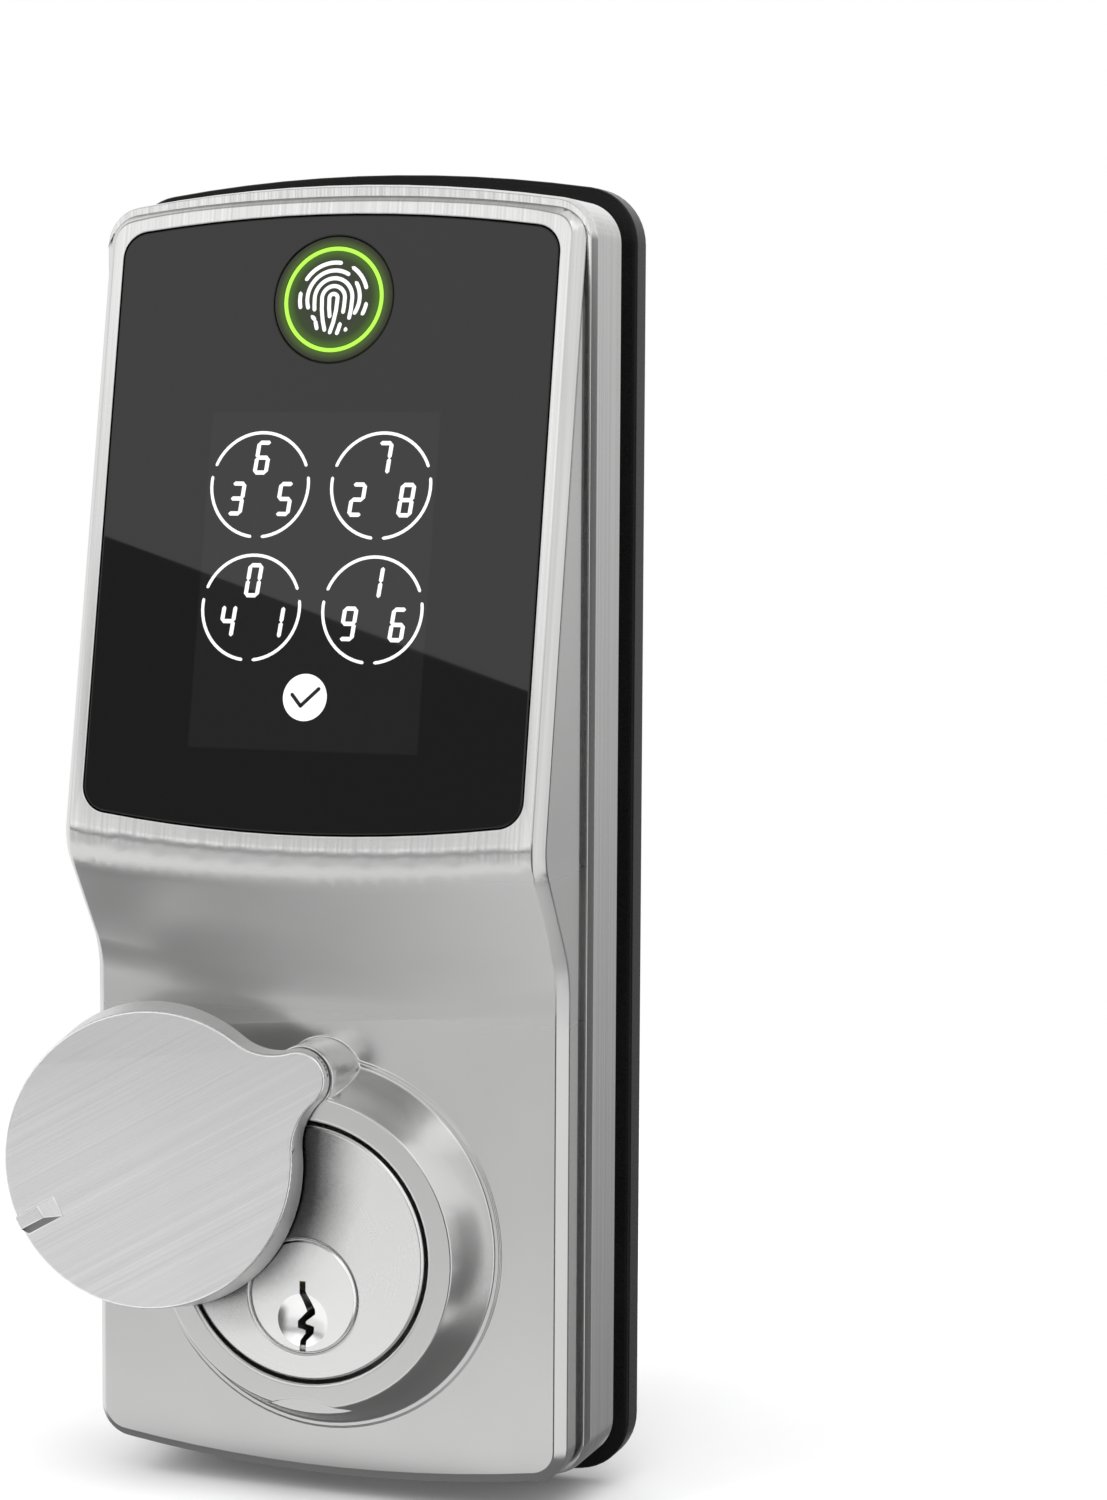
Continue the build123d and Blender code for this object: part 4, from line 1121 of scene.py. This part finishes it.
@dataclass
class TouchPanel:
    """Touch glass with its lit keys, tick and fingerprint button, in millimetres."""

    key_columns: Point = (-7.38, 7.38)
    key_rows: Point = (91.5, 77.73)
    key_digits: tuple[tuple[str, str], tuple[str, str]] = (("635", "728"), ("041", "196"))
    digit_places: tuple[Point, Point, Point] = ((0.1, 3.1), (-2.75, -1.6), (3.15, -1.6))
    ring_radius: float = 5.96
    ring_stroke: float = 0.36
    ring_gap: float = 11.5
    gap_angles: tuple[float, float, float] = (15.0, 165.0, 270.0)
    digit_height: float = 3.9
    digit_width: float = 1.85
    digit_stroke: float = 0.48
    digit_slant: float = 6.0
    segment_gap: float = 0.19
    segment_point: float = 0.45
    segment_taper: float = 0.42
    tick_height: float = 67.9
    tick_radius: float = 2.66
    tick_points: tuple[Point, Point, Point] = ((-1.55, 0.28), (-0.45, -0.97), (1.63, 1.01))
    tick_stroke: float = 0.42
    tick_thickness: float = 0.03
    disc_thickness: float = 0.04
    sensor_height: float = 112.4
    sensor_glow: float = 0.85
    print_light: float = 0.82
    ridge_stroke: float = 0.46
    ridge_centre: float = 0.1
    ridge_bend: float = 12.0
    ridge_arches: tuple[tuple[float, float, float], ...] = (
        (0.5, 2.3, 4.2), (1.4, 3.9, 1.8), (2.3, 1.5, 2.5),
    )
    ridge_legs: tuple[tuple[float, float, float, int], ...] = (
        (1.4, 2.8, 4.3, 1), (2.3, 2.5, 3.7, -1), (2.3, 3.4, 3.9, 1),
    )
    ridge_arcs: tuple[tuple[float, float, float], ...] = (
        (3.2, 203.0, -148.0), (3.2, 36.0, -72.0), (3.2, 232.0, -14.0),
        (4.1, 150.0, -72.0), (4.1, 60.0, -46.0), (4.1, 197.0, -28.0), (4.1, -7.0, -22.0),
    )

    def build(self) -> None:
        """Build and dress the panel."""
        self.glass()
        self.sensor()
        self.rings()
        self.digits()
        self.tick()
        self.ridges()

    def glass(self) -> None:
        """Glass with a softened edge."""
        finish = DarkGlass("black_glass", screen_colour(10, 10, 11), screen_colour(22, 22, 23))
        Bench.dressed_copy(
            "touch_glass", "touch_glass_pane", Rounding(0.18, rows=3),
            Body.HOUSING, Slot.GLASS, finish,
        )

    def sensor(self) -> None:
        """Sensor face and its light ring."""
        Bench.dressed_copy(
            "fingerprint_sensor", "fingerprint_button", Rounding(0.12),
            Body.HOUSING, Slot.SENSOR,
            SensorFace("sensor_face", self.sensor_height, self.sensor_glow),
        )
        green = screen_colour(90, 140, 30), screen_colour(172, 248, 72)
        Bench.dressed_copy(
            "sensor_light_ring", "button_light_ring", Rounding(0.08),
            Body.HOUSING, Slot.LIGHT, LitPrint("green_light", *green, strength=1.0),
        )

    def settle_print(self, piece: Piece, name: str) -> None:
        """Dress a print in white that is lit from behind.

        Args:
            piece: Finished print.
            name: Name of its finish.
        """
        white = screen_colour(150, 150, 150), screen_colour(245, 247, 248)
        finish = LitPrint(name, *white, self.print_light)
        Bench.settle(piece, Body.HOUSING, Slot.WHITE_PLASTIC, finish)

    def rings(self) -> None:
        """Broken rings of the four keys."""
        strokes = Strokes(self.ring_stroke)
        gaps = sorted(self.gap_angles)
        arcs = []
        for first, last in zip(gaps, gaps[1:] + [gaps[0] + 360.0]):
            start = first + self.ring_gap / 2
            arcs.append(strokes.arc(self.ring_radius, start, last - first - self.ring_gap))
        ring = Bench.joined("key_ring", arcs)
        copies = [
            Bench.placed_copy(ring, PANEL.matrix(x, z))
            for z in self.key_rows for x in self.key_columns
        ]
        Bench.drop(ring)
        self.settle_print(Bench.joined("key_rings", copies), "key_ring_white")

    def digits(self) -> None:
        """Slanted digits of the keys, from two segment templates."""
        strokes = Strokes(self.digit_stroke)
        half = (self.digit_width - self.digit_stroke) / 2
        quarter = (self.digit_height - self.digit_stroke) / 4
        point = self.digit_stroke * self.segment_point - self.segment_gap
        flat = strokes.bar(2 * half + point, self.segment_taper, rows=1)
        tall = strokes.bar(2 * quarter + point, self.segment_taper, rows=1)
        turn = Matrix.Rotation(math.pi / 2, 4, "Z")
        places = {
            "a": (flat, 0.0, 2 * quarter), "g": (flat, 0.0, 0.0), "d": (flat, 0.0, -2 * quarter),
            "b": (tall, half, quarter), "c": (tall, half, -quarter),
            "f": (tall, -half, quarter), "e": (tall, -half, -quarter),
        }
        slant = Matrix.Identity(4)
        slant[0][1] = math.tan(math.radians(self.digit_slant))
        copies = []
        for z, row in zip(self.key_rows, self.key_digits):
            for x, digits in zip(self.key_columns, row):
                for digit, (dx, dz) in zip(digits, self.digit_places):
                    spot = PANEL.matrix(x, z) @ Matrix.Translation((dx * MM, dz * MM, 0.0))
                    for letter in SEGMENTS[digit]:
                        template, sx, sz = places[letter]
                        move = Matrix.Translation((sx * MM, sz * MM, 0.0))
                        if template is tall:
                            move = move @ turn
                        copies.append(Bench.placed_copy(template, spot @ slant @ move))
        Bench.drop(flat, tall)
        self.settle_print(Bench.joined("key_digits", copies), "digit_white")

    def tick(self) -> None:
        """White disc with its dark tick."""
        spot = PANEL.matrix(0.0, self.tick_height)
        disc = Bench.fresh(
            bpy.ops.mesh.primitive_cylinder_add,
            vertices=72, radius=self.tick_radius * MM, depth=self.disc_thickness * MM,
        )
        Bench.soften(disc, Rounding(0.012))
        disc.data.transform(spot)
        self.settle_print(Bench.joined("tick_disc", [disc]), "disc_white")
        strokes = Strokes(self.tick_stroke, self.tick_thickness)
        bars = []
        for start, end in zip(self.tick_points, self.tick_points[1:]):
            run = Vector(end) - Vector(start)
            bar = strokes.bar(run.length + self.tick_stroke, strokes.cap_share, rows=3)
            middle = (Vector(start) + Vector(end)) / 2 * MM
            turn = Matrix.Rotation(math.atan2(run.y, run.x), 4, "Z")
            lift = Matrix.Translation((middle.x, middle.y, self.tick_thickness * MM))
            bar.data.transform(lift @ turn)
            bar.data.transform(spot)
            bars.append(bar)
        finish = MouldedPlastic(
            "tick_dark", screen_colour(24, 24, 26), roughness=0.4, grain=0.15, relief=0.05, gloss=0.2
        )
        mark = Bench.joined("tick_mark", bars)
        Bench.settle(mark, Body.HOUSING, Slot.BLACK_PLASTIC, finish)

    def arch(self, strokes: Strokes, radius: float, left: float, right: float) -> Piece:
        """One ridge that goes up, over and down again.

        Args:
            strokes: Strokes to draw with.
            radius: Radius of its top.
            left: Length of its left leg.
            right: Length of its right leg.

        Returns:
            The stroke.
        """
        bend = self.ridge_bend
        rise, fall = (math.degrees(length / bend) for length in (left, right))
        lean = math.radians(rise)
        start = (bend * (1 - math.cos(lean)) - radius, self.ridge_centre - bend * math.sin(lean))
        runs = ((bend, -rise), (radius, -180.0), (bend, -fall))
        return strokes.path(start, 90.0 + rise, runs)

    def leg(
        self, strokes: Strokes, radius: float, top: float, bottom: float, side: int
    ) -> Piece:
        """Loose lower end of a ridge.

        Args:
            strokes: Strokes to draw with.
            radius: Radius of the ridge that it belongs to.
            top: How far below the centre it starts.
            bottom: How far below the centre it ends.
            side: 1 for the right leg and -1 for the left one.

        Returns:
            The stroke.
        """
        bend = self.ridge_bend
        high, low = (math.degrees(length / bend) for length in (top, bottom))
        lean = math.radians(low)
        across = side * (radius - bend * (1 - math.cos(lean)))
        start = (across, self.ridge_centre - bend * math.sin(lean))
        return strokes.path(start, 90.0 - side * low, ((bend, side * (low - high)),))

    def ridges(self) -> None:
        """Plain fingerprint sign of nested ridges."""
        strokes = Strokes(self.ridge_stroke)
        pieces = [self.arch(strokes, *sizes) for sizes in self.ridge_arches]
        pieces += [self.leg(strokes, *sizes) for sizes in self.ridge_legs]
        pieces += [strokes.arc(*sizes, self.ridge_centre) for sizes in self.ridge_arcs]
        sign = Bench.joined("fingerprint_sign", pieces)
        sign.data.transform(PANEL.matrix(0.0, self.sensor_height))
        self.settle_print(sign, "sign_white")


@dataclass
class Housing:
    """Front housing, band and gasket."""

    nickel: Colour = (0.655, 0.653, 0.65)
    black: Colour = (0.004, 0.004, 0.004)
    front_edge: Rounding = Rounding(0.2, angle=28.0)
    band_edge: Rounding = Rounding(0.1, angle=8.0)
    gasket_edge: Rounding = Rounding(0.15)
    bezel_foot: Point = (50.2, 51.4)
    step_heights: Point = (31.0, 49.0)
    step_blur: float = 0.14
    band_ends: Point = (-22.5, 122.0)

    def build(self) -> None:
        """Build and dress the housing."""
        cast = BrushedMetal(
            "nickel_front", self.nickel, roughness=0.22, lines=0.8, line_width=0.3,
            line_length=40.0, line_depth=500.0, brushed_from=self.bezel_foot,
            blurred=(self.step_heights, self.step_blur),
        )
        Bench.dressed_copy(
            "front_housing", "front_housing_cast", self.front_edge,
            Body.HOUSING, Slot.NICKEL, cast,
        )
        brushed = BrushedMetal(
            "nickel_band", self.nickel, roughness=0.15, line_width=0.25, line_length=60.0,
            ends=self.band_ends,
        )
        Bench.dressed_copy(
            "rear_housing", "rear_band", self.band_edge, Body.HOUSING, Slot.NICKEL, brushed
        )
        rubber = MouldedPlastic(
            "gasket_rubber", self.black, roughness=0.3, grain=0.3, relief=0.06, gloss=0.16
        )
        gasket = Bench.dressed_copy(
            "door_gasket", "door_gasket_rubber", self.gasket_edge, Body.HOUSING, Slot.RUBBER, rubber
        )
        gasket.visible_glossy = False


@dataclass
class KeyCylinder:
    """Cylinder face and plug."""

    face_centre: Point = (0.0, 5.05)
    face_colour: Colour = (0.87, 0.87, 0.865)
    face_shade: Shade = Shade((0.72, 0.92), 0.07)
    plug_colour: Colour = (0.96, 0.96, 0.955)
    plug_shade: Shade = Shade((0.66, 0.85), 0.2)

    def build(self) -> None:
        """Build and dress the cylinder."""
        Bench.dressed_copy(
            "cylinder_shell", "cylinder_face", Rounding(0.08), Body.HOUSING, Slot.CYLINDER,
            TurnedMetal("nickel_face", self.face_colour, 0.28, self.face_centre, self.face_shade),
        )
        Bench.dressed_copy(
            "key_plug", "key_plug_turned", Rounding(0.02, sharp=12.0), Body.PLUG, Slot.CYLINDER,
            TurnedMetal("nickel_plug", self.plug_colour, 0.22, shaded=self.plug_shade),
        )


@dataclass
class KeyCover:
    """Swinging cover over the keyway.

    Faces that look less to the front than front_share are its sides, rougher than the front and
    darker as painted shade; those within tab_share are the flanks of its finger tab, near-black
    as a painted shadow.
    """

    rest_angle: float = 60.4
    front_way: Place = (0.136, -0.988, 0.077)
    front_share: float = 0.6
    tab_share: Point = (0.352, 0.5)
    front_colour: Colour = (0.93, 0.93, 0.927)
    # Sides darker than the front: painted shade, on top of a rougher side finish
    side_shade_colour: Colour = (0.8, 0.8, 0.798)
    # Near-black tab flanks: a painted shadow under the finger tab
    tab_shadow_colour: Colour = (0.22, 0.22, 0.219)

    def build(self) -> None:
        """Build and dress the cover."""
        finish = BrushedMetal(
            "nickel_cover", self.front_colour, roughness=0.25, lines=0.6, line_width=0.3,
            line_length=60.0, turn=self.rest_angle, line_depth=500.0, relief=0.01,
        )
        cover = Bench.dressed_copy(
            "key_cover", "key_cover_brushed", Rounding(0.09, angle=30.0),
            Body.COVER, Slot.NICKEL, finish,
        )
        for other in (
            # Rougher sides, with a darker colour that is painted shade
            BrushedMetal("nickel_cover_side_painted_shade", self.side_shade_colour, 0.55, lines=0.3, relief=0.01),
            # Tab flanks: same nickel, darkened as a painted shadow
            BrushedMetal("nickel_tab_painted_shadow", self.tab_shadow_colour, 0.4, lines=0.3, relief=0.01),
        ):
            cover.data.materials.append(other.material())
        tab_low, tab_high = self.tab_share
        front = Vector(self.front_way)
        for face in cover.data.polygons:
            share = face.normal.dot(front)
            # Sides take the darker colour of painted shade
            face.material_index = int(share < self.front_share)
            # Tab flanks take the painted shadow
            if tab_low < share < tab_high:
                face.material_index = 2


@dataclass
class Inside:
    """CAD nodes that keep their shape and take a better finish."""

    steel_nodes: tuple[str, ...] = (
        "back_plate", "housing_screws", "mounting_posts", "cylinder_keeper", "keeper_screws",
        "board_standoffs", "board_screws", "cap_screws", "tailpiece", "cover_screw",
        "pin_springs", "plug_cap",
    )
    brass_nodes: tuple[str, ...] = ("chamber_cap", "driver_pins", "key_pins", "cover_washer")
    black_nodes: tuple[str, ...] = ("display_frame", "sensor_retainer", "board_chips", "buzzer")

    def finishes(self) -> tuple[tuple[Finish, tuple[str, ...]], ...]:
        """Each finish with the nodes that share it.

        Returns:
            Pairs of a finish and node names.
        """
        return (
            (ZincPlate("zinc_steel", (0.58, 0.585, 0.6), 0.34), self.steel_nodes),
            (TurnedMetal("turned_brass", (0.72, 0.5, 0.2), 0.28), self.brass_nodes),
            (MouldedPlastic("grommet_rubber", (0.012, 0.012, 0.012), 0.55), ("cable_grommet",)),
            (
                MouldedPlastic("adhesive_foam", (0.01, 0.01, 0.01), 0.85, grain=0.4, relief=0.5),
                ("glass_adhesive",),
            ),
            (MouldedPlastic("display_back", (0.02, 0.02, 0.022), 0.25), ("display_panel",)),
            (MouldedPlastic("black_plastic", (0.018, 0.018, 0.02), 0.5), self.black_nodes),
            (MouldedPlastic("white_plastic", (0.72, 0.7, 0.64), 0.45), ("board_connector",)),
            (FlatCable("amber_film", (0.5, 0.24, 0.05)), ("display_flex", "sensor_flex")),
            (CircuitBoard("solder_mask", (0.012, 0.1, 0.04)), ("main_board",)),
        )

    def build(self) -> None:
        """Dress the nodes."""
        for finish, nodes in self.finishes():
            material = finish.material()
            for node in nodes:
                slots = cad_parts[node].data.materials
                slots.clear()
                slots.append(material)
                LOG.info("%s keeps its shape with %s", node, material.name)


@dataclass(frozen=True)
class Card:
    """Far reflection card, seen only by shiny surfaces.

    Args:
        name: Name of the card.
        way: Angle from the front, to the right, and angle above level, in degrees.
        size: Width and height in degrees.
        levels: Light at its lower and upper edge, where 1 is white.
        soft: Share of each half side over which the card fades out.
        roll: Turn about its own middle in degrees.
        distance: How far away it hangs, in millimetres.
    """

    name: str
    way: Point
    size: Point
    levels: Point
    soft: float = 0.25
    roll: float = 0.0
    distance: float = 900.0


@dataclass(frozen=True)
class SoftBox:
    """Square soft box.

    Args:
        name: Name of the lamp.
        place: Where it hangs, in metres.
        size: Side of its square in metres.
        power: Power in watts.
    """

    name: str
    place: Place
    size: float
    power: float


@dataclass
class Studio:
    """Floor, soft light, reflection cards and camera, in millimetres."""

    floor_height: float = -25.25
    floor_radius: float = 420.0
    floor_fade: Point = (60.0, 378.0)
    floor_tones: tuple[Colour, Colour] = ((0.94, 0.94, 0.94), (0.96, 0.96, 0.96))
    world_light: float = 0.8
    camera_place: Place = (150.33, -367.32, 93.86)
    camera_turn: Place = (19.412, 4.850, 0.320)
    camera_lens: float = 80.495
    camera_sensor: float = 36.0
    lamp_target: Place = (0.0, 0.0, 0.05)
    lamps: tuple[SoftBox, ...] = (
        SoftBox("soft_box_left", (-0.7, -0.6, 0.7), 0.7, 6.0),
        SoftBox("soft_box_top", (0.3, -0.35, 0.95), 0.8, 5.0),
    )
    card_centre: Place = (0.0, -15.0, 40.0)
    cards: tuple[Card, ...] = (
        Card("card_horizon", (-25.0, 1.0), (80.0, 8.0), (0.1, 0.1), 0.2),
        Card("card_low_front", (-25.0, -12.0), (80.0, 16.0), (0.68, 0.68), 0.5),
        Card("card_top", (-100.0, 72.0), (70.0, 34.0), (0.6, 0.6), 0.4),
        Card("card_high_front", (-20.0, 62.0), (100.0, 44.0), (0.45, 0.45), 0.4),
        Card("card_bezel", (-25.0, 18.0), (44.0, 32.0), (1.33, 1.33), 0.35, distance=950.0),
        Card(
            "card_in_glass", (-24.9, 15.5), (12.7, 6.4), (0.25, 0.25), 0.01,
            roll=11.5, distance=850.0,
        ),
        Card("card_camera_side", (27.0, -12.0), (44.0, 58.0), (0.06, 0.06), 0.35),
        Card("card_upper_right", (70.0, 50.0), (40.0, 30.0), (1.5, 1.5), 0.4),
        Card("card_right_strip", (121.0, -13.0), (52.0, 56.0), (0.13, 0.13), 0.35),
        Card("card_right_back", (164.0, -4.0), (34.0, 60.0), (0.12, 0.9), 0.2),
        Card("card_right_low", (70.0, -50.0), (60.0, 40.0), (0.15, 0.5), 0.5),
    )
    # Dark floor card round the foot: a painted contact shadow that only reflections see
    foot_card_size: float = 300.0
    foot_shadow_level: float = 0.2
    foot_half: Point = (30.0, 10.0)
    foot_middle: float = -10.0
    foot_shadow: Point = (6.0, 18.0)
    step_card_place: Place = (0.0, -19.0, 30.5)
    step_card_turn: Point = (12.0, -23.0)
    step_card_half: float = 70.0
    step_card_reach: Point = (-50.0, -32.0)
    step_card_side: Point = (38.0, 46.0)
    step_card_run: Point = (-32.0, 28.0)
    step_card_levels: Point = (0.22, 0.78)
    body_side: Point = (26.5, 28.5)
    body_face: Point = (-23.0, -20.5)
    body_inside: Point = (-16.0, -12.0)

    def build(self) -> None:
        """Set the stage."""
        bpy.context.scene.view_settings.view_transform = "Standard"
        self.world()
        self.floor()
        self.foot_card()
        self.step_card()
        for card in self.cards:
            self.far_card(card)
        for lamp in self.lamps:
            self.soft_box(lamp)
        self.camera()

    def world(self) -> None:
        """White surroundings that the camera and glossy surfaces see as white."""
        world = bpy.data.worlds.new("studio")
        bpy.context.scene.world = world
        world.use_nodes = True
        tree = world.node_tree
        background = tree.nodes["Background"]
        background.inputs["Color"].default_value = (1.0, 1.0, 1.0, 1.0)
        path = tree.nodes.new("ShaderNodeLightPath")
        seen: Socket = path.outputs["Is Camera Ray"]
        for name in ("Is Glossy Ray", "Is Transmission Ray"):
            either = tree.nodes.new("ShaderNodeMath")
            either.operation = "MAXIMUM"
            tree.links.new(seen, either.inputs[0])
            tree.links.new(path.outputs[name], either.inputs[1])
            seen = either.outputs["Value"]
        level = tree.nodes.new("ShaderNodeMapRange")
        level.inputs["To Min"].default_value = self.world_light
        level.inputs["To Max"].default_value = 1.0
        tree.links.new(seen, level.inputs["Value"])
        tree.links.new(level.outputs["Result"], background.inputs["Strength"])

    def floor(self) -> None:
        """Pale floor that fades into the white surroundings."""
        floor = Bench.fresh(
            bpy.ops.mesh.primitive_circle_add,
            vertices=96, radius=self.floor_radius * MM, fill_type="NGON",
            location=(0.0, 0.0, self.floor_height * MM),
        )
        floor.name = "studio_floor"
        sheet = Sheet("pale_floor")
        grain = sheet.noise(sheet.place(), scale=40.0)
        pale = sheet.tint(grain, NOISE, self.floor_tones)
        away = sheet.node("ShaderNodeVectorMath", {0: sheet.place()}, operation="LENGTH")
        limits = [limit * MM for limit in self.floor_fade]
        fade = sheet.span(away.outputs["Value"], limits, FALL, True)
        sheet.surface(Base_Color=pale, Roughness=0.9, Specular_IOR_Level=0.0, Alpha=fade)
        floor.data.materials.append(sheet.material)
        floor.visible_glossy = False

    def within(
        self, sheet: Sheet, part: Socket, limits: Point, result: Point = FALL
    ) -> Socket:
        """Share that changes smoothly between two limits.

        Args:
            sheet: Sheet to add to.
            part: Place along one axis.
            limits: Where the change starts and ends, in millimetres.
            result: Share at the two limits.

        Returns:
            The share.
        """
        return sheet.span(part, [limit * MM for limit in limits], result, True)

    def finish_card(
        self, card: Piece, sheet: Sheet, level: Any, cover: Socket
    ) -> None:
        """Make a card give off plain light that only reflections see.

        Args:
            card: Object of the card.
            sheet: Its sheet.
            level: Light of the card, where 1 is white.
            cover: Share from 0, clear, to 1, full.
        """
        light = sheet.node("ShaderNodeEmission", {"Strength": level})
        clear = sheet.node("ShaderNodeBsdfTransparent", {})
        inputs = {0: cover, 1: clear.outputs["BSDF"], 2: light.outputs["Emission"]}
        mixed = sheet.node("ShaderNodeMixShader", inputs)
        output = sheet.tree.nodes["Material Output"]
        sheet.feed(output.inputs["Surface"], mixed.outputs["Shader"])
        card.data.materials.append(sheet.material)
        for ray in ("camera", "diffuse", "transmission", "volume_scatter", "shadow"):
            setattr(card, "visible_" + ray, False)

    def foot_card(self) -> None:
        """Dark card on the floor close to the lock's foot, a painted contact shadow that only metal
        sees.
        """
        card = Bench.fresh(
            bpy.ops.mesh.primitive_grid_add,
            x_subdivisions=8, y_subdivisions=8, size=self.foot_card_size * MM,
            location=(0.0, 0.0, self.floor_height * MM),
        )
        card.name = "foot_card"
        sheet = Sheet("foot_card_light")
        parts = sheet.axes(sheet.place())
        outside = []
        for key, middle, half in zip("XY", (0.0, self.foot_middle), self.foot_half):
            beyond = sheet.maths("SUBTRACT", sheet.away(parts[key], middle * MM), half * MM)
            outside.append(sheet.maths("MAXIMUM", beyond, 0.0))
        # Darkest at the foot and fading out: the painted contact shadow
        cover = self.within(sheet, sheet.length(*outside), self.foot_shadow)
        self.finish_card(card, sheet, self.foot_shadow_level, cover)

    def far_card(self, card: Card) -> None:
        """Add a far reflection card.

        Args:
            card: Direction, size and light of the card.
        """
        plate = Bench.fresh(
            bpy.ops.mesh.primitive_grid_add, x_subdivisions=2, y_subdivisions=2, size=2.0
        )
        plate.name = card.name
        turn, rise = (math.radians(angle) for angle in card.way)
        out = Vector((
            math.sin(turn) * math.cos(rise), -math.cos(turn) * math.cos(rise), math.sin(rise)
        ))
        half = [math.tan(math.radians(angle) / 2) * card.distance for angle in card.size]
        plate.scale = (half[0] * MM, half[1] * MM, 1.0)
        bpy.ops.object.transform_apply(location=False, rotation=False, scale=True)
        roll = Matrix.Rotation(math.radians(card.roll), 4, "Z")
        spot = (Vector(self.card_centre) + out * card.distance) * MM
        facing = (-out).to_track_quat("Z", "Y").to_matrix().to_4x4()
        plate.matrix_world = Matrix.Translation(spot) @ facing @ roll
        sheet = Sheet(card.name + "_light")
        parts = sheet.axes(sheet.place())
        fades = [
            self.within(
                sheet, sheet.maths("ABSOLUTE", parts[key]), (reach * (1.0 - card.soft), reach)
            )
            for key, reach in zip("XY", half)
        ]
        level = sheet.span(parts["Y"], around(0.0, half[1] * MM), card.levels)
        self.finish_card(plate, sheet, level, sheet.maths("MULTIPLY", *fades))

    def step_card(self) -> None:
        """Card ahead of the step, darker on the left, that only the step looks down on."""
        tilt, way = (math.radians(angle) for angle in self.step_card_turn)
        plate = Bench.fresh(
            bpy.ops.mesh.primitive_grid_add,
            x_subdivisions=8, y_subdivisions=8, size=2.0 * self.step_card_half * MM,
            location=Vector(self.step_card_place) * MM, rotation=(tilt, 0.0, way),
        )
        plate.name = "step_card"
        sheet = Sheet("step_card_light")
        parts = sheet.axes(sheet.place())
        run = [limit * MM for limit in self.step_card_run]
        level = sheet.span(parts["X"], run, self.step_card_levels)
        geometry = sheet.node("ShaderNodeNewGeometry", {}).outputs
        spot = sheet.axes(geometry["Position"])
        beside = self.within(sheet, sheet.maths("ABSOLUTE", spot["X"]), self.body_side)
        ahead = self.within(sheet, spot["Y"], self.body_face)
        cover = self.within(sheet, parts["Y"], self.step_card_reach, RISE)
        for share in (
            self.within(sheet, sheet.maths("ABSOLUTE", parts["X"]), self.step_card_side),
            sheet.maths("MAXIMUM", beside, ahead),
            self.within(sheet, spot["Y"], self.body_inside),
            sheet.maths("SUBTRACT", 1.0, geometry["Backfacing"]),
        ):
            cover = sheet.maths("MULTIPLY", cover, share)
        self.finish_card(plate, sheet, level, cover)

    def soft_box(self, box: SoftBox) -> None:
        """Add a soft box aimed at the lock.

        Args:
            box: Place, size and power of the lamp.
        """
        lamp = Bench.fresh(bpy.ops.object.light_add, type="AREA", location=box.place)
        lamp.name = box.name
        lamp.data.size = box.size
        lamp.data.energy = box.power
        lamp.visible_glossy = False
        aim = Vector(self.lamp_target) - Vector(box.place)
        lamp.rotation_euler = aim.to_track_quat("-Z", "Y").to_euler()

    def camera(self) -> None:
        """Camera at the photograph's place."""
        yaw, pitch, roll = (math.radians(angle) for angle in self.camera_turn)
        ahead = Vector((
            -math.sin(yaw) * math.cos(pitch), math.cos(yaw) * math.cos(pitch), -math.sin(pitch)
        ))
        level = Vector((math.cos(yaw), math.sin(yaw), 0.0))
        above = level.cross(ahead)
        right = math.cos(roll) * level + math.sin(roll) * above
        up = math.cos(roll) * above - math.sin(roll) * level
        turn = Matrix((right, up, -ahead)).transposed().to_4x4()
        data = bpy.data.cameras.new("camera")
        data.sensor_fit = "VERTICAL"
        data.sensor_height = self.camera_sensor
        data.lens = self.camera_lens
        data.clip_start = 10.0 * MM
        camera = bpy.data.objects.new("camera", data)
        bpy.context.scene.collection.objects.link(camera)
        camera.matrix_world = Matrix.Translation(Vector(self.camera_place) * MM) @ turn
        bpy.context.scene.camera = camera


def main() -> None:
    """Build the lock's looks in order."""
    logging.basicConfig(level=logging.INFO, format="%(name)s: %(message)s")
    for assembly in (Housing(), TouchPanel(), KeyCylinder(), KeyCover(), Inside(), Studio()):
        assembly.build()


if __name__ == "__main__":
    main()
